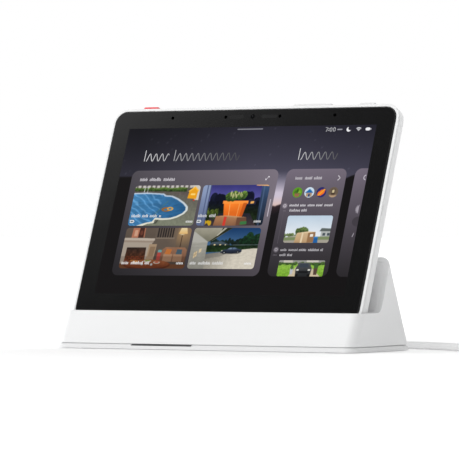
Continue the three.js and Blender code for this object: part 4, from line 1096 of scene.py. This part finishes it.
# wall and soffit
P.poly([(-0.1, -0.1), (0.245, -0.1), (0.235, 0.67), (0.04, 0.90), (-0.1, 1.0)], grad((132, 130, 122), (166, 164, 154), 0.0, 0.8, 0.05, 8, 77))
for k in range(9):
    y = 0.02 + k * 0.085
    P.band([(-0.1, y - 0.03), (0.236, y + 0.03 * (1 - k / 6))], 0.003, (120, 118, 110), 0.6)
P.poly([(-0.1, 0.66), (0.10, 0.64), (0.24, 0.655), (0.24, 0.67), (0.0, 0.93), (-0.1, 1.0)], (176, 174, 166), 0.8)
P.poly([(0.06, 0.25), (0.105, 0.31), (0.105, 0.44), (0.06, 0.39)], (206, 184, 146)).poly([(0.13, 0.385), (0.165, 0.415), (0.165, 0.50), (0.13, 0.475)], (210, 190, 154))
P.band([(0.06, 0.32), (0.105, 0.375)], 0.004, (120, 104, 82)).band([(0.083, 0.28), (0.083, 0.415)], 0.003, (120, 104, 82))
P.poly([(-0.1, 1.1), (0.58, 1.1), (0.575, 1.0), (0.30, 0.685), (0.235, 0.665), (0.02, 0.90), (-0.1, 0.97)], grad((112, 110, 94), (158, 154, 138), 0.66, 1.0, 0.05, 8, 78))
P.poly([(0.44, 1.1), (0.60, 1.1), (0.575, 1.0), (0.27, 0.665), (0.25, 0.668), (0.40, 0.86)], (38, 42, 26))
P.poly([(0.505, 1.1), (0.555, 1.1), (0.36, 0.80), (0.35, 0.815)], (196, 192, 176), 0.85)
panel("scene_driveway", -24.4, 21.7, -37.6, -11.5, 1.9, 7, P, 0.3)

# ---- street in daylight with a parcel, and a front lawn with a pick-up truck
P = Paint(1.75)
P.fill(grad((226, 232, 238), (188, 206, 222), 0.3, 1.0, 0.02, 3, 81))
P.blobs(0.28, 0.50, 0.46, 0.11, 7, grad((58, 78, 44), (112, 132, 72), 0.35, 0.6, 0.5, 24, 82), 31, 1.0, 0.5, 0.05)
P.blobs(0.0, 0.25, 0.28, 0.06, 6, grad((74, 92, 60), (120, 136, 86), 0.2, 0.35, 0.4, 24, 83), 32)
P.poly([(0.80, 0.20), (1.1, 0.20), (1.1, 0.50), (0.80, 0.50)], (178, 182, 180)).poly([(0.76, 0.42), (1.1, 0.42), (1.1, 0.52), (0.80, 0.54)], (92, 100, 98)).poly([(0.84, 0.26), (0.90, 0.26), (0.90, 0.36), (0.84, 0.36)], (72, 82, 88)).poly([(0.94, 0.26), (1.0, 0.26), (1.0, 0.36), (0.94, 0.36)], (72, 82, 88))
P.poly([(0.0, 0.19), (0.26, 0.27), (0.40, 0.37), (0.52, 0.36), (0.30, 0.16)], (166, 164, 150)).poly([(0.0, 0.05), (1.1, 0.10), (1.1, 0.24), (0.0, 0.20)], (122, 136, 96))
P.poly([(0.0, -0.1), (1.1, -0.1), (1.1, 0.12), (0.0, 0.08)], (164, 158, 146))
P.poly([(0.24, 0.0), (0.52, 0.0), (0.52, 0.42), (0.27, 0.36)], grad((182, 150, 112), (208, 180, 142), 0.0, 0.4, 0.04, 6, 84)).poly([(0.52, 0.0), (0.70, 0.02), (0.68, 0.40), (0.52, 0.42)], (148, 112, 78)).poly([(0.27, 0.36), (0.52, 0.42), (0.68, 0.40), (0.47, 0.355)], (222, 198, 160))
P.poly([(0.37, 0.0), (0.41, 0.0), (0.42, 0.395), (0.385, 0.385)], (226, 206, 172)).poly([(0.57, 0.22), (0.64, 0.225), (0.635, 0.32), (0.57, 0.315)], (236, 232, 222))
P.poly([(0.66, 0.0), (0.76, 0.0), (0.75, 0.20), (0.665, 0.20)], (34, 96, 160)).poly([(0.66, 0.17), (0.755, 0.17), (0.75, 0.22), (0.66, 0.22)], (52, 124, 190))
panel("scene_street", 38.3, 68.8, -20.9, -3.75, 1.3, 7, P, 0.28)
P = Paint(2.9)
P.fill(grad((116, 164, 50), (142, 186, 74), 0.0, 0.8, 0.25, 20, 91, stretch=2))
P.poly([(0.0, 0.76), (1.1, 0.80), (1.1, 1.1), (0.0, 1.1)], (150, 150, 146)).blobs(0.0, 1.0, 0.80, 0.09, 14, grad((44, 72, 32), (98, 120, 66), 0.7, 0.95, 0.5, 20, 92), 41)
P.poly([(0.10, 0.86), (0.30, 0.86), (0.30, 1.1), (0.10, 1.1)], (198, 192, 180)).poly([(0.60, 0.88), (0.86, 0.88), (0.86, 1.1), (0.60, 1.1)], (206, 200, 190))
P.poly([(0.22, -0.1), (0.98, -0.1), (0.70, 0.62), (0.40, 0.62)], grad((206, 190, 160), (196, 182, 156), 0.0, 0.6, 0.06, 8, 93))
P.poly([(0.40, 0.0), (0.72, 0.0), (0.74, 0.50), (0.67, 0.86), (0.44, 0.86), (0.39, 0.50)], grad((38, 40, 42), (86, 88, 92), 0.1, 0.85, 0.08, 8, 94))
P.poly([(0.45, 0.56), (0.67, 0.56), (0.65, 0.80), (0.47, 0.80)], (58, 66, 76)).poly([(0.45, 0.20), (0.67, 0.20), (0.67, 0.34), (0.45, 0.34)], (24, 25, 27)).poly([(0.41, 0.36), (0.46, 0.36), (0.46, 0.45), (0.41, 0.45)], (226, 226, 216)).poly([(0.66, 0.36), (0.71, 0.36), (0.71, 0.45), (0.66, 0.45)], (226, 226, 216))
P.poly([(0.40, -0.05), (0.46, -0.05), (0.46, 0.14), (0.40, 0.14)], (18, 18, 18)).poly([(0.66, -0.05), (0.72, -0.05), (0.72, 0.14), (0.66, 0.14)], (18, 18, 18))
P.poly([(0.79, 0.10), (0.86, 0.10), (0.87, 0.60), (0.78, 0.60)], (86, 66, 58)).oval(0.825, 0.66, 0.05, 0.16, (62, 96, 48))
P.poly([(0.28, 0.12), (0.33, 0.12), (0.34, 0.50), (0.27, 0.50)], (186, 188, 196)).oval(0.305, 0.56, 0.035, 0.13, (78, 108, 58))
panel("scene_lawn", 38.3, 69.3, -42.0, -32.0, 0.9, 7, P, 0.28)

# ---- round badges of the events: a planter, a house, a leaf and a porch
badges = (
    (41.4, (92, 150, 36), [([(0.30, 0.10), (0.70, 0.10), (0.78, 0.42), (0.22, 0.42)], (150, 104, 78)), ([(0.24, 0.42), (0.50, 0.90), (0.76, 0.42)], (52, 96, 30)), ([(0.08, 0.44), (0.30, 0.76), (0.48, 0.42)], (70, 116, 38)), ([(0.92, 0.44), (0.70, 0.78), (0.52, 0.42)], (128, 176, 58))]),
    (49.5, (206, 224, 238), [([(0.20, 0.08), (0.80, 0.08), (0.80, 0.50), (0.20, 0.50)], (176, 148, 118)), ([(0.08, 0.48), (0.50, 0.86), (0.92, 0.48)], (30, 104, 168)), ([(0.42, 0.08), (0.60, 0.08), (0.60, 0.34), (0.42, 0.34)], (30, 60, 108))]),
    (57.6, (44, 44, 104), [([(0.10, 0.22), (0.46, 0.16), (0.80, 0.40), (0.90, 0.84), (0.48, 0.74), (0.18, 0.52)], (246, 116, 34)), ([(0.16, 0.20), (0.24, 0.16), (0.86, 0.80), (0.80, 0.84)], (232, 190, 60))]),
    (65.6, (106, 92, 78), [([(0.12, 0.0), (0.88, 0.0), (0.88, 0.24), (0.12, 0.24)], (178, 150, 120)), ([(0.32, 0.24), (0.68, 0.24), (0.68, 0.80), (0.32, 0.80)], (62, 48, 40)), ([(0.38, 0.44), (0.62, 0.44), (0.62, 0.74), (0.38, 0.74)], (206, 190, 150))]),
)
for k, (x, ground, shapes) in enumerate(badges):
    P = Paint()
    P.fill(ground)
    for pts, c in shapes:
        P.poly(pts, c)
    panel("event_badge_%d" % (k + 1), x - 3.3, x + 3.3, 11 - 3.3, 11 + 3.3, 3.3, 7, P, 0.33)

# ---- strokes, bars and signs
d = Decal("display_titles", 7)
fade = lambda x0, x1, hi, lo: (lambda x: tuple(int(round((hi + (lo - hi) * min(1, max(0, (x - x0) / (x1 - x0)))) / 6) * 6 + k) for k in (0, 0, 2)))
m1 = fade(-66, -2, 206, 72)
ripple(d, -70.6, -53.6, 34.6, 4.9, 4.3, 0.5, m1, tall=7.2)
ripple(d, -49.4, -3.8, 34.6, 4.9, 4.3, 0.5, m1, tall=7.2)
m2 = fade(37, 66, 206, 78)
ripple(d, 37.6, 63.6, 34.4, 4.9, 4.6, 0.5, m2, tall=7.4)
d.bar(-8.9, 8.9, 52.3, 0.75, (126, 126, 134))
d.done()

d = Decal("display_small_type", 8)


def words(x0, x1, y, h, tone, seed, dec=d):
    r = random.Random(seed)
    x = x0
    while x < x1 - 0.8:
        w = min(r.uniform(2.6, 6.4) * h / 1.3, x1 - x)
        if w > 0.9:
            k = x
            while k < x + w - 0.3:                     # each word is a row of short uneven ticks
                t = r.uniform(0.28, 0.46)
                dec.shape([(k, y - h / 2), (k + t, y - h / 2), (k + t, y - h / 2 + h * r.choice((0.72, 0.72, 0.8, 1.15))), (k, y - h / 2 + h * r.choice((0.72, 0.72, 1.0)))], tone)
                k += t + 0.34
        x += w + h * 0.75


words(-70.6, -45.6, 20.1, 2.0, (214, 210, 216), 3)
words(38.2, 57.9, 20.2, 1.9, (210, 206, 212), 4)
words(37.8, 68.3, 2.9, 1.6, (224, 221, 226), 5)
words(38.5, 50.0, -0.35, 1.6, (218, 215, 220), 6)
words(37.7, 66.8, -25.4, 1.5, (196, 193, 198), 7)
words(37.7, 46.5, -28.6, 1.5, (190, 187, 192), 8)
words(34.1, 36.4, -0.6, 0.8, (120, 113, 122), 9)
words(33.2, 36.4, -28.6, 0.8, (112, 106, 114), 10)
d.done()
d = Decal("scene_captions", 10)
for x, y, w, seed, t in ((-71.3, -3.6, 21.5, 11, 232), (-24.0, -3.6, 12.0, 12, 222), (-71.3, -34.0, 20.0, 13, 238), (-23.0, -34.0, 23.0, 14, 226)):
    words(x, x + w, y, 1.9, (t, t, t), seed, d)
for x, y in ((-32.0, -7.2), (15.4, -7.2), (-32.6, -34.0), (14.6, -34.0)):
    words(x, x + 5.0, y, 1.7, (236, 236, 236), 15, d)
for x in (-71.6, -24.2):
    d.shape([(x, -8.2), (x + 2.6, -8.2), (x + 2.6, -6.3), (x, -6.3)], (228, 230, 232))
    d.bar(x + 0.35, x + 2.25, -7.25, 1.0, (110, 120, 128), 1).bar(x + 2.75, x + 3.1, -7.25, 1.0, (220, 220, 222))
d.done()

d = Decal("display_signs", 8)
WH = (236, 236, 240)
# clock: 7 0 0 as strokes, and a short bar
cx, cy, s = 52.2, 51.15, 0.42
for dx, segs in ((0.0, [[(0, 1.3), (1.5, 1.3), (0.55, -1.3)]]), (2.9, [[(0.75, 1.3), (1.4, 0.75), (1.4, -0.75), (0.75, -1.3), (0.1, -0.75), (0.1, 0.75), (0.75, 1.3)]]), (5.15, [[(0.75, 1.3), (1.4, 0.75), (1.4, -0.75), (0.75, -1.3), (0.1, -0.75), (0.1, 0.75), (0.75, 1.3)]])):
    for g_ in segs:
        d.stroke([(cx + dx + a, cy + b) for a, b in g_], 0.22, WH)
d.disc(cx + 2.1, cy + 0.55, 0.24, WH, n=12).disc(cx + 2.1, cy - 0.6, 0.24, WH, n=12)
d.bar(60.1, 63.6, 51.1, 0.8, (150, 150, 158))
# moon
ph, al, be = math.radians(41.2), math.radians(55.2), math.radians(80.4)
mp = [(67.9 + 1.5 * math.cos(t), 51.1 + 1.5 * math.sin(t)) for t in np.linspace(ph + al, ph + 2 * math.pi - al, 26)]
mp += [(68.7 + 1.25 * math.cos(t), 51.8 + 1.25 * math.sin(t)) for t in np.linspace(ph + math.pi + be, ph + math.pi - be, 18)[1:-1]]
d.shape(mp, WH)
# radio waves
for r0, r1, a0 in ((0.0, 0.62, 45), (0.95, 1.5, 45), (1.85, 2.4, 45)):
    d.ring(74.6, 49.9, r0 + 0.001, r1, (216, 216, 222), 45, 135, 12)
# battery
d.bar(79.2, 82.4, 51.1, 1.9, WH).bar(82.6, 83.0, 51.1, 0.8, WH)
# expand sign and chevron
d.stroke([(18.2, 19.7), (19.6, 21.1)], 0.28, (220, 216, 222)).shape([(20.2, 21.7), (19.05, 21.6), (20.1, 20.55)], (226, 222, 228)).shape([(17.6, 19.1), (18.75, 19.2), (17.7, 20.25)], (226, 222, 228))
d.stroke([(67.0, 21.6), (68.5, 20.1), (67.0, 18.6)], 0.42, (226, 222, 228))
# scroll bar, round marks beside the entries
d.bar(23.7, 24.3, 1.3, 11.2, (190, 182, 194))
d.disc(34.65, 2.5, 1.75, (128, 120, 130)).ring(34.65, 2.5, 0.55, 1.0, (196, 190, 198), lift=1, n=18)
d.disc(34.6, -25.3, 1.75, (106, 100, 108)).ring(34.6, -25.3, 0.55, 1.0, (168, 163, 170), lift=1, n=18)
d.bar(34.5, 34.75, -11.5, 20.0, (92, 86, 94))
# what shows of the next card: a ring, a cog and a soft disc
d.ring(AX - 0.4, 20.2, 1.25, 1.65, (216, 210, 220), 95, 265, 14)
for k in range(7):
    t = math.radians(92 + k * 28)
    d.shape([(84.9 + 1.5 * math.cos(t - 0.2), 0.2 + 1.9 * math.sin(t - 0.2)), (84.9 + 2.3 * math.cos(t - 0.12), 0.2 + 2.8 * math.sin(t - 0.12)), (84.9 + 2.3 * math.cos(t + 0.12), 0.2 + 2.8 * math.sin(t + 0.12)), (84.9 + 1.5 * math.cos(t + 0.2), 0.2 + 1.9 * math.sin(t + 0.2))], (148, 142, 152))
d.shape([(84.9, 2.4)] + [(84.9 + 1.7 * math.cos(t), 0.2 + 2.1 * math.sin(t)) for t in np.linspace(math.pi / 2, math.pi * 1.5, 12)] + [(84.9, -2.0)], (160, 153, 163), 1)
d.shape([(AX, -4.2)] + [(AX + 4.2 * math.cos(t), -7.6 + 3.2 * math.sin(t)) for t in np.linspace(math.pi * 0.52, math.pi * 1.48, 16)] + [(AX, -10.9)], (66, 61, 68))
d.stroke([(AX - 2.2, -17.2), (AX - 1.4, -14.8)], 0.4, (176, 170, 180))
d.done()

# ---- sensors in the border: four microphones, the camera and two dark windows
d = Decal("sensor_marks", 2)
HOLE_SHADE, RIMG, WIN, LENS0, LENS1, GLINT = plain("port_painted_shade", (2, 2, 2), 0.9, 0.0), plain("port_rim", (22, 22, 23), 0.4, 0.2), plain("sensor_window", (9, 9, 10), 0.3, 0.3), plain("lens_ring", (5, 5, 6), 0.35, 0.1), plain("lens_glass", (3, 3, 4), 0.2, 0.08), plain("lens_glint", (24, 27, 34), 0.2)
# the microphone holes are black discs on the glass: painted shade standing for the dark hollows
for x in (-56.6, -18.9, 18.8, 56.5):
    d.disc(x, 60.5, 1.05, HOLE_SHADE)
for a, b in ((-16.6, -6.3), (6.1, 17.3)):
    d.shape(outline(a, b, 59.4, 61.6, 1.08, 8), WIN)
# the small lighter disc at the lens's upper left is a painted glint, a highlight on the lens
d.disc(0, 60.5, 1.9, LENS0, n=40).ring(0, 60.5, 1.55, 1.75, RIMG, lift=1, n=40).disc(0, 60.5, 1.5, LENS1, 2, n=40).disc(-0.35, 60.9, 0.35, GLINT, 3, n=16)
d.done()

# ------------------------------------------------------------------ strengths of the studio lights
AMBIENT = 0.381
LOBES = (            # direction, sharpness, strength
    ((-1, 0, 0.25), 6, 1.42),
    ((-0.72, -0.68, 0.2), 8, 1.14),
    ((-0.15, -1, 0.2), 8, 1.30),
    ((-0.2, 1, 0.3), 6, 0.90),
    ((0.2, 0.7, 0.7), 8, 1.00),
    ((-0.05, -0.75, 0.7), 8, 0.22),
)
CARD_BASE, CARD_EDGE = 0.095, 0.68
# strengths of the floor's painted light, near the object and further out
FLOOR_PAINTED_LIGHT_NEAR, FLOOR_PAINTED_LIGHT_FAR = 0.16, 0.450
KEY_W, TOP_W = 12.0, 2.3

# ------------------------------------------------------------------ floor, light and background
me = bpy.data.meshes.new("floor")
me.from_pydata([(-30, -12, 0), (30, -12, 0), (30, 60, 0), (-60, 60, 0)], [], [(0, 1, 2, 3)])
floor = bpy.data.objects.new("floor", me)
bpy.context.scene.collection.objects.link(floor)
m, nt, p = shader("studio_floor")
p.inputs["Base Color"].default_value = (0.93, 0.93, 0.93, 1)
p.inputs["Roughness"].default_value = 1.0
p.inputs["Specular IOR Level"].default_value = 0.0
p.inputs["Emission Color"].default_value = (1, 1, 1, 1)
# painted light: the sheet glows, though it is no lamp, more further out and less under the object
n, link = nt.nodes, nt.links
far = n.new("ShaderNodeVectorMath")
far.operation = "LENGTH"
link.new(n.new("ShaderNodeTexCoord").outputs["Object"], far.inputs[0])
glow = n.new("ShaderNodeMapRange")
glow.interpolation_type = "SMOOTHSTEP"
link.new(far.outputs["Value"], glow.inputs["Value"])
glow.inputs["From Min"].default_value, glow.inputs["From Max"].default_value = 0.18, 0.6
glow.inputs["To Min"].default_value, glow.inputs["To Max"].default_value = FLOOR_PAINTED_LIGHT_NEAR, FLOOR_PAINTED_LIGHT_FAR
glow.name = "floor_painted_light"
link.new(glow.outputs["Result"], p.inputs["Emission Strength"])
me.materials.append(m)

world = bpy.data.worlds.new("studio")
bpy.context.scene.world = world
world.use_nodes = True
nt = world.node_tree
n, link = nt.nodes, nt.links
bg = n["Background"]


def dot(a, b):
    v = n.new("ShaderNodeVectorMath")
    v.operation = "DOT_PRODUCT"
    link.new(a, v.inputs[0])
    v.inputs[1].default_value = b
    return v.outputs["Value"]


def ramp(value, lo, hi, to0, to1, smooth=True):
    r = n.new("ShaderNodeMapRange")
    r.interpolation_type = "SMOOTHSTEP" if smooth else "LINEAR"
    link.new(value, r.inputs["Value"])
    r.inputs["From Min"].default_value, r.inputs["From Max"].default_value = lo, hi
    r.inputs["To Min"].default_value, r.inputs["To Max"].default_value = to0, to1
    return r.outputs["Result"]


def calc(op, a, b, name=None):
    c = n.new("ShaderNodeMath")
    c.operation = op
    if name:
        c.name = name
    for i, x in enumerate((a, b)):
        if isinstance(x, (int, float)):
            c.inputs[i].default_value = x
        else:
            link.new(x, c.inputs[i])
    return c.outputs[0]


co = n.new("ShaderNodeTexCoord").outputs["Generated"]
light = calc("ADD", AMBIENT, 0.0, "ambient")
for i, (way, power, weight) in enumerate(LOBES):
    d = calc("MAXIMUM", dot(co, tuple(Vector(way).normalized())), 0.0)
    light = calc("ADD", light, calc("MULTIPLY", calc("POWER", d, power), weight, "lobe_%d" % i))
# a dark card that the glass mirrors, brighter towards its upper left
near = ramp(dot(co, (-0.5139, -0.6207, 0.5922)), math.cos(math.radians(20)), math.cos(math.radians(8)), 0.0, 1.0)
e = calc("ADD", dot(co, (-0.4942, 0.7784, 0.387)), 0.003)
e = calc("MINIMUM", calc("MAXIMUM", calc("MULTIPLY", e, 1 / 0.0412), 0.0), 1.25)
card = calc("ADD", calc("MULTIPLY", calc("POWER", e, 2.8), CARD_EDGE, "card_edge"), CARD_BASE, "card_base")
light = calc("ADD", calc("MULTIPLY", light, calc("SUBTRACT", 1.0, near)), calc("MULTIPLY", card, near))
lp = n.new("ShaderNodeLightPath").outputs["Is Camera Ray"]
mix = n.new("ShaderNodeMix")
mix.data_type = "FLOAT"
link.new(lp, mix.inputs[0])
link.new(light, mix.inputs[2])
mix.inputs[3].default_value = 1.0
link.new(mix.outputs[0], bg.inputs["Strength"])
bg.inputs["Color"].default_value = (1, 1, 1, 1)


def area(name, at, to, size, power):
    l = bpy.data.lights.new(name, "AREA")
    l.shape, l.size, l.energy = "DISK", size, power
    o = bpy.data.objects.new(name, l)
    bpy.context.scene.collection.objects.link(o)
    o.location = at
    o.rotation_euler = (Vector(to) - Vector(at)).to_track_quat("-Z", "Y").to_euler()
    o.visible_glossy = False
    return o


area("key", (-1.7, -1.3, 1.9), (0, 0, 0.05), 1.2, KEY_W)
area("top", (0.1, 0.6, 2.4), (0, 0, 0.05), 1.5, TOP_W)

vs = bpy.context.scene.view_settings
vs.view_transform = "Standard"
vs.look = "None"
vs.exposure = 0.0
vs.gamma = 1.0
